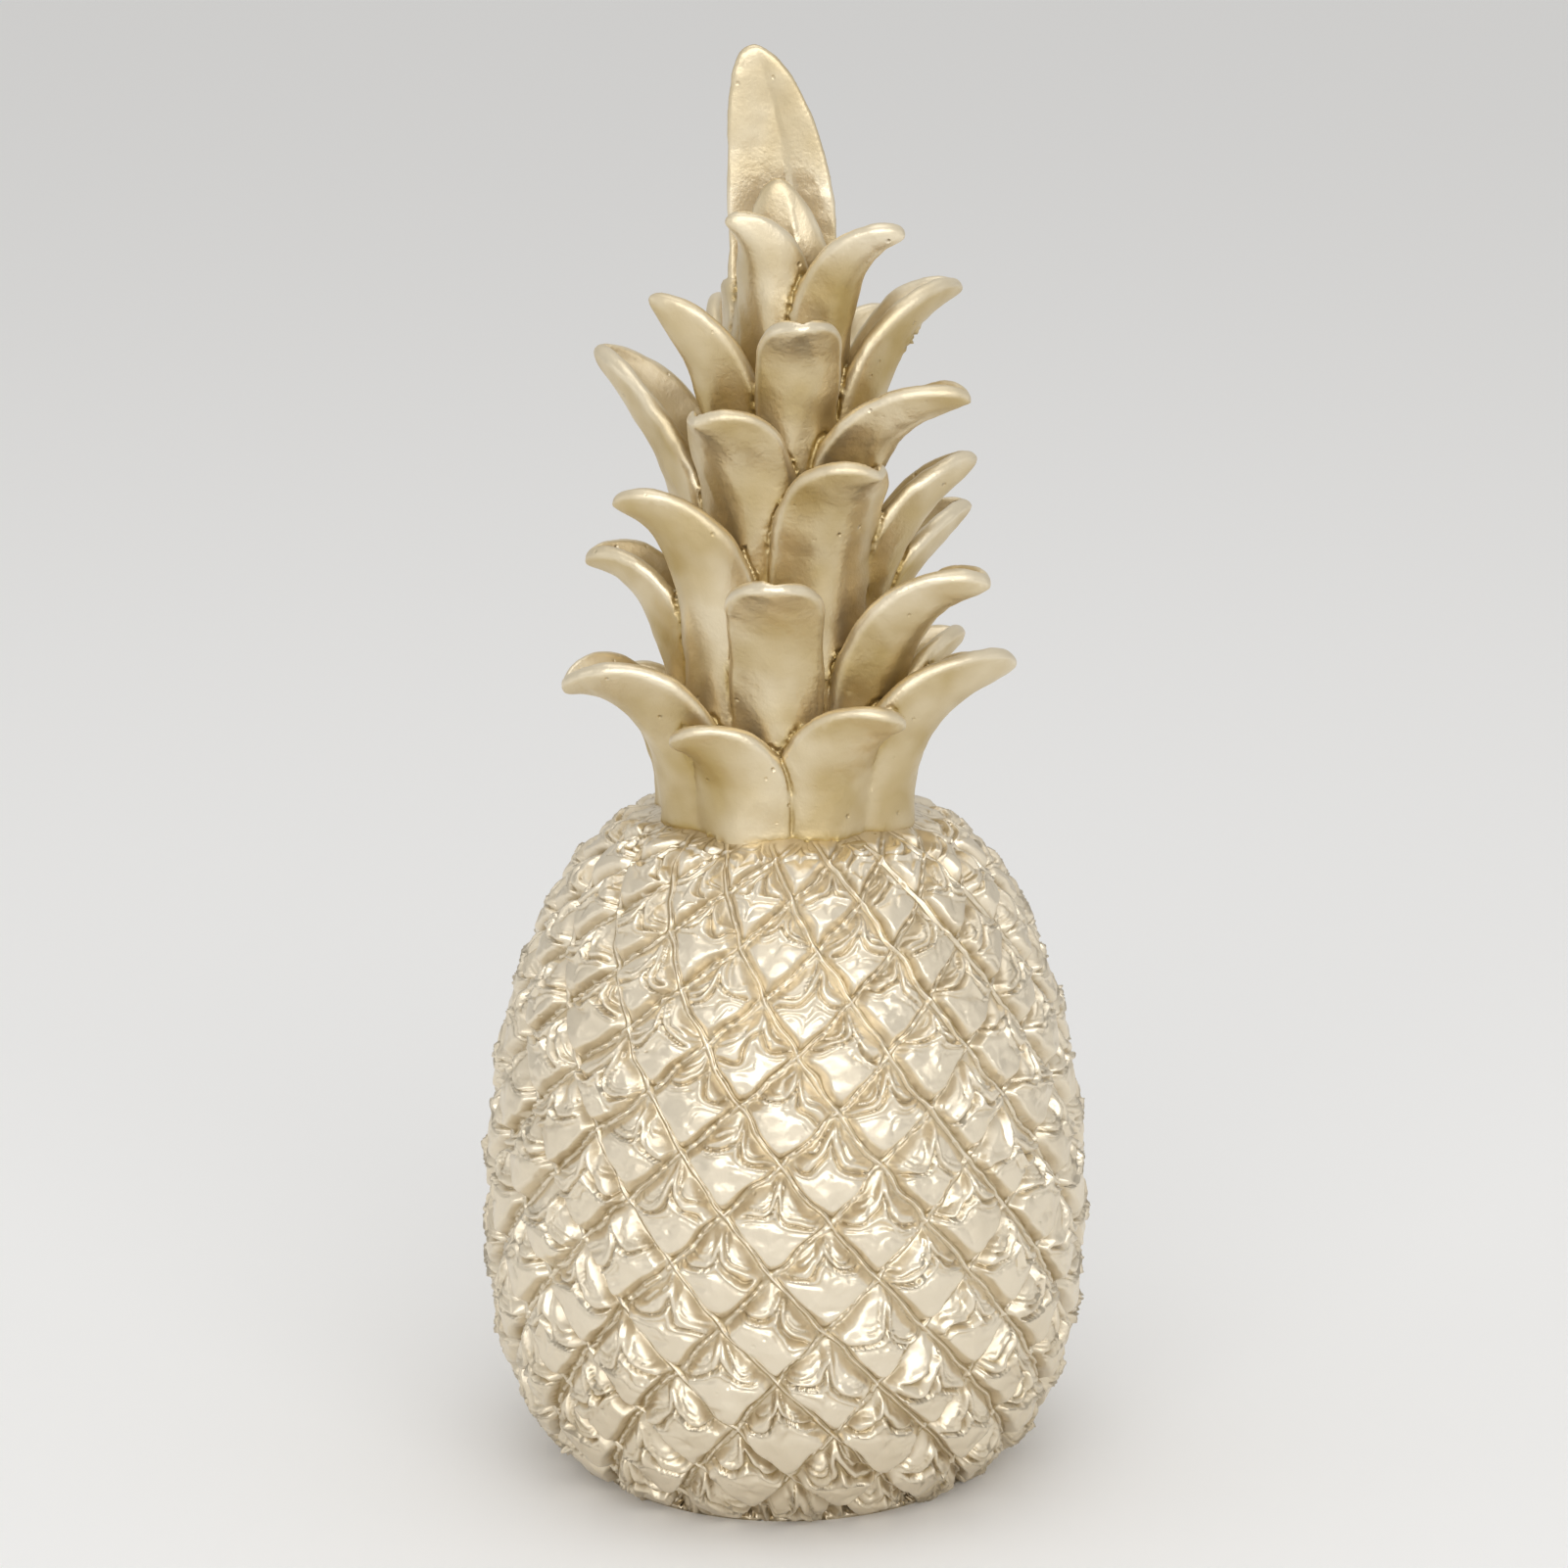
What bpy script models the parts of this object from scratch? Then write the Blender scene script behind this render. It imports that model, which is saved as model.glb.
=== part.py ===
"""Cast pineapple ornament: a fruit of raised diamond eyes with a crown of stubby leaves.

The ornament is one casting, so everything here is joined into one solid. It stands on a flat
underside at the origin, with +Z up and -Y towards the front. Lengths are in metres.
"""

import math

import bmesh
import bpy
from mathutils import Vector

# Fruit: a turned envelope, fuller below the middle, that touches the tops of the eyes
FRUIT_RADIUS = 0.0530
WIDEST_HEIGHT = 0.047
ABOVE_WIDEST = 0.077
BELOW_WIDEST = 0.052
ABOVE_POWER, ABOVE_ROOT = 1.9, 3.09
BELOW_POWER, BELOW_ROOT = 2.4, 3.82
ARC_START_HEIGHT = 0.122
PROFILE_STEPS = 3000
SMALLEST_RADIUS = 0.0005

# Eyes: a spiral net with 17 lines falling to the right and 19 falling to the left
RIGHT_SPIRALS = 17
LEFT_SPIRALS = 19
FIRST_ROW = -6.3
LAST_ROW = 9.7
ROW_ARC = 0.00974
ROW_ARC_GROWTH = 0.000075
ARC_AT_ROW_ZERO = 0.0453
ANGLE_AT_ROW_ZERO = 2.6
ANGLE_PER_ROW = 7.6
ANGLE_TWIST = 0.293
EYE_HEIGHT = 0.0026
EYE_POINT = 0.0009
EYE_POINT_AT = 0.47
EYE_INSET = 0.17
EYES_START_ARC = 0.0035
EYES_FULL_ARC = 0.0105

# Foot: a thin flat disc that closes the grooves where the ornament stands
FOOT_RADIUS = 0.0348
FOOT_HEIGHT = 0.0009
FOOT_SIDES = 30
FLOOR_SIZE = 0.2

# Crown: leaves round a tapered stem, all in millimetres because its sizes are small
STEM_FOOT, STEM_TOP = 104, 211
STEM_SIDES, STEM_RINGS = 12, 8
UNDER_LEAVES = 2.6
# The bud that closes the stem, and the column that the lower parts of the leaves make: both as
# (height, radius)
BUD = ((215, 5.0), (219, 1.0))
COLUMN = (
    (104, 24.0),
    (117, 22.5),
    (138, 18.6),
    (160, 16.0),
    (185, 13.8),
    (205, 11.6),
    (222, 7.5),
    (250, 5.0),
)
# A leaf's wall, its sections along and across it, and how it narrows towards its tip
LEAF_WALL = 2.2
THICKER_ROOT = 0.9
TIP_THINS_FROM, TIP_WALL = 0.9, 0.4
FULL_TROUGH_AT = 0.625
LEAF_STATIONS = (0.0, 0.27, 0.5, 0.68, 0.82, 0.92, 0.98)
STATIONS_BEHIND = (0.0, 0.32, 0.58, 0.78, 0.93)
BEHIND_ANGLE = 100
LEAF_ACROSS = (-1.0, -0.5, 0.0, 0.5, 1.0)
LEAF_INSIDE = (0.55, -0.55)
ROOT_WIDTH = 0.86
TAPER_POWER, TAPER_ROOT = 1.9, 0.62
# How closely a leaf hugs the column, how deep its root sits in it, and how its spine bends
TUCK = 1.5
LOWEST_ROOTS_UNDER = 115
ROOT_DEPTH, ROOT_DEPTH_ABOVE = 1.6, 4.0
KNEE_AT, KNEE_INSET, KNEE_OUT = 0.55, 1.0, 0.06
HOOK_SHARE, HOOK_RISE = 0.5, 0.35
TURN_POWER = 2.0

# Each leaf, from the bottom of the crown up: where it springs from, where its tip ends, how wide
# it is, and the tip's angle above level. Angles are in degrees round from the front, to the right
# positive, and lengths in millimetres. Depth is the trough's depth as a share of the half width,
# and taper is where along the leaf it starts to narrow:
# root angle, tip angle, root height, tip height, tip reach, half width, tip rise, depth, taper
LEAVES = (
    (-62, -72, 113, 142.5, 40, 11.0, -14, 0.60, 0.48),
    (-20, -43, 112, 135.4, 28.5, 9.6, 12, 0.42, 0.33),
    (21, 42, 112, 138.6, 31, 10.2, 10, 0.50, 0.34),
    (63, 80, 113, 146, 39.5, 10.6, 22, 0.60, 0.48),
    (107, 110, 113, 138, 33, 9.6, 10, 0.60, 0.48),
    (152, 152, 113, 142, 37, 9.6, 5, 0.60, 0.48),
    (-164, -164, 113, 141, 37, 9.6, 0, 0.60, 0.48),
    (-112, -114, 113, 137, 35, 9.6, 0, 0.60, 0.48),
    (-96, -94, 122, 162, 35, 8.8, 5, 0.60, 0.48),
    (-44, -62, 120, 175.5, 32.5, 9.4, 18, 0.60, 0.44),
    (-5, -3, 118, 164.0, 32, 8.1, 30, 0.15, 0.74),
    (56, 62, 120, 162, 38.5, 9.4, 12, 0.60, 0.44),
    (104, 114, 118, 146.5, 34, 8.6, 25, 0.60, 0.48),
    (154, 154, 120, 162, 35, 8.9, 12, 0.60, 0.48),
    (-152, -150, 120, 160, 35, 8.9, 8, 0.60, 0.48),
    (-25, -36, 146, 190, 25.5, 9.3, 24, 0.38, 0.68),
    (23, 34, 132, 181.4, 28.5, 9.6, 22, 0.40, 0.66),
    (82, 88, 146, 181, 32, 7.6, 50, 0.60, 0.48),
    (112, 112, 138, 170, 35, 8.2, 45, 0.60, 0.48),
    (-104, -108, 146, 197.5, 34, 10.4, 50, 0.55, 0.48),
    (160, 160, 140, 182, 31, 8.2, 25, 0.60, 0.48),
    (-146, -146, 140, 178, 33, 8.2, 25, 0.60, 0.48),
    (-54, -62, 168, 210, 26, 7.6, 58, 0.60, 0.44),
    (9, 7, 164, 206.2, 24, 7.0, 24, 0.26, 0.70),
    (50, 58, 160, 193.5, 37, 8.4, 12, 0.60, 0.44),
    (88, 98, 168, 209, 30, 8.6, 18, 0.55, 0.44),
    (142, 142, 166, 202, 30, 7.2, 30, 0.60, 0.48),
    (-156, -156, 166, 204, 28, 7.2, 35, 0.60, 0.48),
    (-10, -40, 190, 222.6, 15.5, 6.4, 42, 0.55, 0.30),
    (40, 53, 188, 220.6, 24, 6.4, 22, 0.60, 0.34),
    (-118, -118, 184, 210, 11.7, 5.2, 70, 0.60, 0.48),
    (150, 150, 188, 216, 15, 5.6, 50, 0.60, 0.48),
)
# The two upright leaves at the top: angle, root height, tip height, reach, half width, how far the
# tip leans to the left, and the power and root of the taper
INNER_LEAF = (18, 190, 228.5, 4.5, 8.4, 2.3, 2.2, 0.52)
TOP_LEAF = (180, 196, 250.4, 7.5, 9.5, 5.3, 2.6, 0.5)
UPRIGHT_STATIONS = (0.0, 0.2, 0.4, 0.6, 0.76, 0.88, 0.95, 0.99)
UPRIGHT_WALL = 2.2
LEAN_POWER = 2.8

GOLD = (0.72, 0.61, 0.40, 1.0)
GOLD_METALLIC = 0.9
GOLD_ROUGHNESS = 0.38

MM = 0.001


def fruit_radius(height):
    """Radius of the turned envelope at a height."""
    if height > WIDEST_HEIGHT:
        share = ((height - WIDEST_HEIGHT) / ABOVE_WIDEST) ** ABOVE_POWER
        root = ABOVE_ROOT
    else:
        share = ((WIDEST_HEIGHT - height) / BELOW_WIDEST) ** BELOW_POWER
        root = BELOW_ROOT
    return FRUIT_RADIUS * max(0.0, 1.0 - share) ** (1.0 / root)


def profile_by_arc():
    """Points (arc length, radius, height) down the envelope, from just under the crown."""
    start = WIDEST_HEIGHT + ABOVE_WIDEST - 0.00001
    stop = WIDEST_HEIGHT - BELOW_WIDEST + 0.000001
    points = []
    for k in range(PROFILE_STEPS + 1):
        height = start + (stop - start) * k / PROFILE_STEPS
        radius = fruit_radius(height)
        if points:
            _, last_radius, last_height = points[-1]
            arc = points[-1][0] + math.hypot(radius - last_radius, height - last_height)
        else:
            arc = 0.0
        points.append((arc, radius, height))
    offset = next(arc for arc, _, height in points if height <= ARC_START_HEIGHT)
    return [(arc - offset, radius, height) for arc, radius, height in points]


PROFILE = profile_by_arc()


def on_profile(arc):
    """(radius, height, outward normal in the radius-height plane) at an arc length."""
    low, high = 0, len(PROFILE) - 1
    arc = min(max(arc, PROFILE[0][0]), PROFILE[-1][0])
    while high - low > 1:
        middle = (low + high) // 2
        if PROFILE[middle][0] <= arc:
            low = middle
        else:
            high = middle
    (arc_a, radius_a, height_a), (arc_b, radius_b, height_b) = PROFILE[low], PROFILE[high]
    share = (arc - arc_a) / (arc_b - arc_a)
    length = math.hypot(radius_b - radius_a, height_b - height_a)
    normal = ((height_a - height_b) / length, (radius_b - radius_a) / length)
    radius = radius_a + share * (radius_b - radius_a)
    height = height_a + share * (height_b - height_a)
    return radius, height, normal


def net_point(right, left, rise):
    """A point of the spiral net. right and left count eyes along the two sets of lines, and rise
    is how far the point stands above the grooves, which fades out under the crown."""
    row = right + left * RIGHT_SPIRALS / LEFT_SPIRALS
    arc = ARC_AT_ROW_ZERO + ROW_ARC * row + ROW_ARC_GROWTH * row * row
    degrees = ANGLE_AT_ROW_ZERO + ANGLE_PER_ROW * row + ANGLE_TWIST * row * row
    degrees -= 360.0 / LEFT_SPIRALS * left
    radius, height, (out, up) = on_profile(arc)
    rise *= min(max((arc - EYES_START_ARC) / (EYES_FULL_ARC - EYES_START_ARC), 0.0), 1.0)
    radius = max(radius + out * (rise - EYE_HEIGHT), SMALLEST_RADIUS)
    height += up * (rise - EYE_HEIGHT)
    angle = math.radians(degrees)
    return Vector((radius * math.sin(angle), -radius * math.cos(angle), height))


def fruit_mesh():
    """The fruit: every eye a raised diamond with bevelled sides and a blunt point."""
    mesh = bmesh.new()
    corners = {}

    def corner(right, left):
        """The vertex where four eyes meet, the same one however many turns round it is reached."""
        turns = right // RIGHT_SPIRALS
        key = (right - turns * RIGHT_SPIRALS, left + turns * LEFT_SPIRALS)
        if key not in corners:
            corners[key] = mesh.verts.new(net_point(*key, 0.0))
        return corners[key]

    near, far = EYE_INSET, 1.0 - EYE_INSET
    for left in range(-2 * LEFT_SPIRALS, LEFT_SPIRALS):
        for right in range(RIGHT_SPIRALS):
            row = right + left * RIGHT_SPIRALS / LEFT_SPIRALS
            if not FIRST_ROW <= row <= LAST_ROW:
                continue
            groove = [corner(right + a, left + b) for a, b in ((0, 0), (0, 1), (1, 1), (1, 0))]
            shoulder = [
                mesh.verts.new(net_point(right + a, left + b, EYE_HEIGHT))
                for a, b in ((near, near), (near, far), (far, far), (far, near))
            ]
            middle = (right + EYE_POINT_AT, left + EYE_POINT_AT)
            point = mesh.verts.new(net_point(*middle, EYE_HEIGHT + EYE_POINT))
            for k in range(4):
                after = (k + 1) % 4
                mesh.faces.new((groove[k], groove[after], shoulder[after], shoulder[k]))
                mesh.faces.new((shoulder[k], shoulder[after], point))
    bmesh.ops.triangulate(mesh, faces=mesh.faces[:])
    for low, high in ((-1.0, WIDEST_HEIGHT), (WIDEST_HEIGHT, 1.0)):
        rim = [edge for edge in mesh.edges if edge.is_boundary and low < edge.verts[0].co.z < high]
        bmesh.ops.edgeloop_fill(mesh, edges=rim)
    bmesh.ops.recalc_face_normals(mesh, faces=mesh.faces[:])
    return mesh


def column_radius(height_mm):
    """Radius in millimetres of the outer faces of the leaves where they hug the stem."""
    for (low, radius_low), (high, radius_high) in zip(COLUMN, COLUMN[1:]):
        if height_mm <= high:
            share = (height_mm - low) / (high - low)
            return radius_low + share * (radius_high - radius_low)
    return COLUMN[-1][1]


def stem_mesh():
    """The tapered stem inside the leaves, closed by a bud."""
    mesh = bmesh.new()
    step = (STEM_TOP - STEM_FOOT) / (STEM_RINGS - 1)
    heights = [STEM_FOOT + step * k for k in range(STEM_RINGS)]
    stations = [(height, column_radius(height) - UNDER_LEAVES) for height in heights]
    rings = []
    for height, radius in stations + list(BUD):
        turns = [2 * math.pi * n / STEM_SIDES for n in range(STEM_SIDES)]
        places = [Vector((radius * math.sin(turn), -radius * math.cos(turn), height)) for turn in turns]
        rings.append([mesh.verts.new(place * MM) for place in places])
    close_rings(mesh, rings)
    return mesh


def close_rings(mesh, rings):
    """Skins a row of rings of vertices and caps both ends."""
    count = len(rings[0])
    for lower, upper in zip(rings, rings[1:]):
        for n in range(count):
            mesh.faces.new((lower[n], lower[(n + 1) % count], upper[(n + 1) % count], upper[n]))
    mesh.faces.new(rings[0])
    mesh.faces.new(rings[-1])
    bmesh.ops.recalc_face_normals(mesh, faces=mesh.faces[:])


def leaf_width(share, taper):
    """Half width of a leaf as a share of its widest, along its length."""
    if share <= taper:
        return ROOT_WIDTH + (1.0 - ROOT_WIDTH) * share / taper
    along = (share - taper) / (1.0 - taper)
    return (1.0 - along**TAPER_POWER) ** TAPER_ROOT


def leaf_path(root_height, tip_height, reach, tip_rise):
    """The four (radius, height) points of the curve that a leaf's spine follows."""
    rise = tip_height - root_height
    sunk = ROOT_DEPTH if root_height < LOWEST_ROOTS_UNDER else ROOT_DEPTH_ABOVE
    root = (column_radius(root_height) - sunk, root_height)
    out = reach - root[0]
    hook = HOOK_SHARE * math.hypot(out, HOOK_RISE * rise)
    lean = math.radians(tip_rise)
    knee_height = root_height + KNEE_AT * rise
    knee = (column_radius(knee_height) - KNEE_INSET + KNEE_OUT * out, knee_height + 0.07 * rise)
    bend = (reach - hook * math.cos(lean), tip_height - hook * math.sin(lean))
    return root, knee, bend, (reach, tip_height)


def spine_point(path, root_angle, tip_angle, share):
    """Where the spine of a leaf is, part of the way along, and which way it faces from the stem."""
    rest = 1.0 - share
    weights = (rest**3, 3 * rest**2 * share, 3 * rest * share**2, share**3)
    radius = sum(weight * point[0] for weight, point in zip(weights, path))
    height = sum(weight * point[1] for weight, point in zip(weights, path))
    angle = math.radians(root_angle + (tip_angle - root_angle) * share**TURN_POWER)
    return Vector((radius * math.sin(angle), -radius * math.cos(angle), height)), angle


def section_ring(mesh, centre, sideways, normal, width, trough, wall):
    """The vertices of one section of a leaf: five across its outer face and two across its inner."""
    ring = []
    for stations, side in ((LEAF_ACROSS, 0.5), (LEAF_INSIDE, -0.5)):
        for across in stations:
            curl = trough * across * across
            ring.append(centre + sideways * (width * across) + normal * (side * wall - curl))
    return [mesh.verts.new(place * MM) for place in ring]


def leaf_mesh(leaf):
    """One leaf: a trough that hugs the stem, then bends out to a rounded tip."""
    root_angle, tip_angle, root_height, tip_height, reach, half_width, tip_rise, depth, taper = leaf
    path = leaf_path(root_height, tip_height, reach, tip_rise)
    mesh = bmesh.new()
    rings = []
    stations = STATIONS_BEHIND if abs(root_angle) > BEHIND_ANGLE else LEAF_STATIONS
    for share in stations:
        centre, angle = spine_point(path, root_angle, tip_angle, share)
        before, _ = spine_point(path, root_angle, tip_angle, max(share - 0.01, 0.0))
        after, _ = spine_point(path, root_angle, tip_angle, share + 0.01)
        along = (after - before).normalized()
        sideways = Vector((math.cos(angle), math.sin(angle), 0.0))
        sideways = (sideways - along * along.dot(sideways)).normalized()
        width = half_width * leaf_width(share, taper)
        hug = TUCK * width * width / (2 * column_radius(centre.z))
        trough = hug + (depth * width - hug) * min(1.0, share / FULL_TROUGH_AT)
        wall = LEAF_WALL * (1.0 + THICKER_ROOT * (1.0 - share) ** 2)
        rounding = max(0.0, (share - TIP_THINS_FROM) / (1.0 - TIP_THINS_FROM))
        wall *= TIP_WALL + (1.0 - TIP_WALL) * math.sqrt(1.0 - rounding**2)
        rings.append(section_ring(mesh, centre, sideways, sideways.cross(along), width, trough, wall))
    close_rings(mesh, rings)
    return mesh


def upright_leaf_mesh(angle_deg, root_height, tip_height, reach, half_width, lean, taper, taper_root):
    """A leaf at the top of the crown, standing nearly straight up with its trough inwards."""
    mesh = bmesh.new()
    rings = []
    angle = math.radians(angle_deg)
    outward = Vector((math.sin(angle), -math.cos(angle), 0.0))
    sideways = Vector((1.0, 0.0, 0.0))
    for share in UPRIGHT_STATIONS:
        height = root_height + (tip_height - root_height) * share
        radius = reach * (0.55 + 0.45 * math.sin(math.pi * share * 0.8))
        centre = outward * radius + Vector((0, 0, height)) - sideways * lean * share**LEAN_POWER
        narrowing = max(0.0, (share - 0.2) / 0.8) ** taper
        width = half_width * (1.0 - narrowing) ** taper_root
        rings.append(section_ring(mesh, centre, sideways, outward, width, 0.2 * width, UPRIGHT_WALL))
    close_rings(mesh, rings)
    return mesh


def foot_mesh():
    """The disc under the fruit."""
    mesh = bmesh.new()
    bmesh.ops.create_cone(
        mesh,
        cap_ends=True,
        segments=FOOT_SIDES,
        radius1=FOOT_RADIUS,
        radius2=FOOT_RADIUS - 0.4 * FOOT_HEIGHT,
        depth=FOOT_HEIGHT,
    )
    bmesh.ops.translate(mesh, verts=mesh.verts[:], vec=(0, 0, FOOT_HEIGHT / 2))
    return mesh


def floor_mesh():
    """A block whose top is the surface that the ornament stands on."""
    mesh = bmesh.new()
    bmesh.ops.create_cube(mesh, size=FLOOR_SIZE)
    bmesh.ops.translate(mesh, verts=mesh.verts[:], vec=(0, 0, -FLOOR_SIZE / 2))
    return mesh


def make_object(name, mesh):
    """Turns a bmesh into an object of the scene."""
    data = bpy.data.meshes.new(name)
    mesh.to_mesh(data)
    mesh.free()
    thing = bpy.data.objects.new(name, data)
    bpy.context.scene.collection.objects.link(thing)
    return thing


def gold():
    """Champagne gold paint with a satin sheen."""
    material = bpy.data.materials.new("champagne_gold")
    material.use_nodes = True
    shader = material.node_tree.nodes["Principled BSDF"]
    shader.inputs["Base Color"].default_value = GOLD
    shader.inputs["Metallic"].default_value = GOLD_METALLIC
    shader.inputs["Roughness"].default_value = GOLD_ROUGHNESS
    return material


def build():
    for thing in list(bpy.data.objects):
        bpy.data.objects.remove(thing)
    casting = make_object("pineapple", fruit_mesh())
    casting.data.materials.append(gold())
    additions = bpy.data.collections.new("crown and foot")
    bpy.context.scene.collection.children.link(additions)
    members = [make_object("stem", stem_mesh()), make_object("foot", foot_mesh())]
    for number, leaf in enumerate(LEAVES, 1):
        members.append(make_object(f"leaf_{number}", leaf_mesh(leaf)))
    members.append(make_object("inner_leaf", upright_leaf_mesh(*INNER_LEAF)))
    members.append(make_object("top_leaf", upright_leaf_mesh(*TOP_LEAF)))
    for member in members:
        bpy.context.scene.collection.objects.unlink(member)
        additions.objects.link(member)
        member.hide_render = True
        member.display_type = "WIRE"
    floor = make_object("floor", floor_mesh())
    floor.hide_render = True
    floor.display_type = "WIRE"
    foot = casting.modifiers.new("flat foot", "BOOLEAN")
    foot.operation = "DIFFERENCE"
    foot.object = floor
    foot.solver = "EXACT"
    join = casting.modifiers.new("cast in one", "BOOLEAN")
    join.operation = "UNION"
    join.operand_type = "COLLECTION"
    join.collection = additions
    join.solver = "EXACT"


build()
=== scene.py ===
# %% [markdown]
# # Cast pineapple ornament
# The real object is a resin casting, about 25 cm tall, sprayed with champagne gold paint: a fruit
# covered in folded diamond eyes under a crown of stubby leaves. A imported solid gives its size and
# its main forms. This lesson makes the fine surface around it: the folds, lips and cords of the
# fruit, the soft leaves that melt into each other, and the paint. Lengths are in metres in the
# scene and in millimetres where a name says so.

# %% Load the solid model
import math

import bmesh
import bpy
import numpy as np
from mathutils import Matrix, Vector


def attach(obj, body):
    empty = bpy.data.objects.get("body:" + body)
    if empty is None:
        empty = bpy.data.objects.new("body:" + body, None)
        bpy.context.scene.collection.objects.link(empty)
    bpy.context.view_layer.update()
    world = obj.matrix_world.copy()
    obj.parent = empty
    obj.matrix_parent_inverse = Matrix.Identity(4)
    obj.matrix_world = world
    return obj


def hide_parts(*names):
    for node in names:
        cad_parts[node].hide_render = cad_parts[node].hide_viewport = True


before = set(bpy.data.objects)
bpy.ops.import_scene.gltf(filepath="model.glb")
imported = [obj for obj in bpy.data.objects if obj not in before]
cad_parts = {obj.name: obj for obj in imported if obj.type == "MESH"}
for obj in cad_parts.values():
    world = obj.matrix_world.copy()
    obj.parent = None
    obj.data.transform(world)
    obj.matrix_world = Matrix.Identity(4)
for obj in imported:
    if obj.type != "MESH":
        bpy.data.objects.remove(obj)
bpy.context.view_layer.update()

MM = 0.001

# %% [markdown]
# Most of the shaping below adds soft hills and steps together. Two small curves do nearly all of
# it: a step that eases in and out, and a rounded hill. Working on whole arrays keeps them fast.

# %% Two curves to shape with
def ease(low, high, value):
    """A step from 0 to 1 between low and high that starts and ends gently."""
    share = np.clip((value - low) / (high - low), 0.0, 1.0)
    return share * share * (3.0 - 2.0 * share)


def hill(value, width):
    """A rounded hill, 1 where value is 0."""
    return np.exp(-((value / width) ** 2))


print("ease at 0, 0.5 and 1:", [float(ease(0.0, 1.0, value)) for value in (0.0, 0.5, 1.0)])

# %% [markdown]
# A modelled and cast surface is never even. Noise from many crossing waves is smooth, closes
# around the fruit without a seam because it depends on the place in space, and comes out the same
# each time because its directions are seeded.

# %% Waves of unevenness
WAVES = 18
SHORTEST, LONGEST = 0.7, 1.5
LARGEST_SUM = 1.7
FULL_TURN = 2.0 * math.pi


def unevenness(places, wavelength, seed):
    """Smooth noise between about -1 and 1 at each place; wavelength is in the places' units."""
    source = np.random.default_rng(seed)
    directions = source.normal(size=(WAVES, 3))
    directions /= np.linalg.norm(directions, axis=1)[:, None]
    lengths = wavelength * source.uniform(SHORTEST, LONGEST, WAVES)
    starts = source.uniform(0.0, FULL_TURN, WAVES)
    total = np.zeros(len(places))
    for direction, length, start in zip(directions, lengths, starts):
        total += np.sin(places @ direction * (FULL_TURN / length) + start)
    return total / math.sqrt(WAVES / 2.0) / LARGEST_SUM


print("unevenness at the origin:", np.round(unevenness(np.zeros((1, 3)), 5.0, 1), 2).tolist())

# %% [markdown]
# ## The fruit
# The fruit is turned: a barrel, fullest below the middle, that draws in to a flat foot and to the
# neck under the crown. The same few sizes shape the solid model, so the fine surface lies on it.

# %% The envelope of the fruit
FRUIT_RADIUS = 53.0
WIDEST_HEIGHT = 47.0
ABOVE_WIDEST, ABOVE_POWER, ABOVE_ROOT = 77.0, 1.9, 3.09
BELOW_WIDEST, BELOW_POWER, BELOW_ROOT = 52.0, 2.4, 3.82
ARC_START_HEIGHT = 122.0
PROFILE_STEPS = 3001
TOP_GAP, BOTTOM_GAP = 0.01, 0.001


def envelope():
    """Arc length, radius and height in millimetres, down the envelope."""
    top = WIDEST_HEIGHT + ABOVE_WIDEST - TOP_GAP
    bottom = WIDEST_HEIGHT - BELOW_WIDEST + BOTTOM_GAP
    height = np.linspace(top, bottom, PROFILE_STEPS)
    above = np.clip((height - WIDEST_HEIGHT) / ABOVE_WIDEST, 0.0, 1.0) ** ABOVE_POWER
    below = np.clip((WIDEST_HEIGHT - height) / BELOW_WIDEST, 0.0, 1.0) ** BELOW_POWER
    radius = FRUIT_RADIUS * (1.0 - above) ** (1.0 / ABOVE_ROOT) * (1.0 - below) ** (1.0 / BELOW_ROOT)
    steps = np.hypot(np.diff(radius), np.diff(height))
    arc = np.concatenate(([0.0], np.cumsum(steps)))
    return arc - np.interp(-ARC_START_HEIGHT, -height, arc), radius, height


PROFILE_ARC, PROFILE_RADIUS, PROFILE_HEIGHT = envelope()
print("fruit is", round(2 * PROFILE_RADIUS.max(), 1), "mm across at", WIDEST_HEIGHT, "mm")

# %% [markdown]
# The eyes sit in a net of two families of spirals, 17 falling to the right and 19 falling to the
# left, as on a real pineapple. Any place on the net is two numbers: eyes counted along the one
# family and along the other. A row grows a little taller and turns a little further lower down.

# %% The spiral net
RIGHT_SPIRALS = 17
LEFT_SPIRALS = 19
FIRST_ROW, LAST_ROW = -6.3, 9.7
ROW_ARC, ROW_ARC_GROWTH, ARC_AT_ROW_ZERO = 9.74, 0.075, 45.3
ANGLE_AT_ROW_ZERO, ANGLE_PER_ROW, ANGLE_TWIST = 2.6, 7.6, 0.293


def net_row(right, left):
    """How many rows down from row zero a place on the net is."""
    return right + left * RIGHT_SPIRALS / LEFT_SPIRALS


def on_net(right, left):
    """Arc length in millimetres and angle in radians of places on the net."""
    row = net_row(right, left)
    arc = ARC_AT_ROW_ZERO + ROW_ARC * row + ROW_ARC_GROWTH * row * row
    degrees = ANGLE_AT_ROW_ZERO + ANGLE_PER_ROW * row + ANGLE_TWIST * row * row
    return arc, np.radians(degrees - 360.0 / LEFT_SPIRALS * left)


print(RIGHT_SPIRALS, "spirals fall to the right and", LEFT_SPIRALS, "to the left")

# %% [markdown]
# The relief is raised square to the envelope, so that the eyes near the top and the foot lean with
# the surface as modelled ones would, and don't just stand out sideways.

# %% Places above the envelope
ARC_NUDGE = 0.2
SMALLEST_RADIUS = 0.5
TINY = 1e-9


def profile_at(arc):
    """Radius and height in millimetres at arc lengths down the envelope."""
    arc = np.clip(arc, PROFILE_ARC[0], PROFILE_ARC[-1])
    return np.interp(arc, PROFILE_ARC, PROFILE_RADIUS), np.interp(arc, PROFILE_ARC, PROFILE_HEIGHT)


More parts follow.
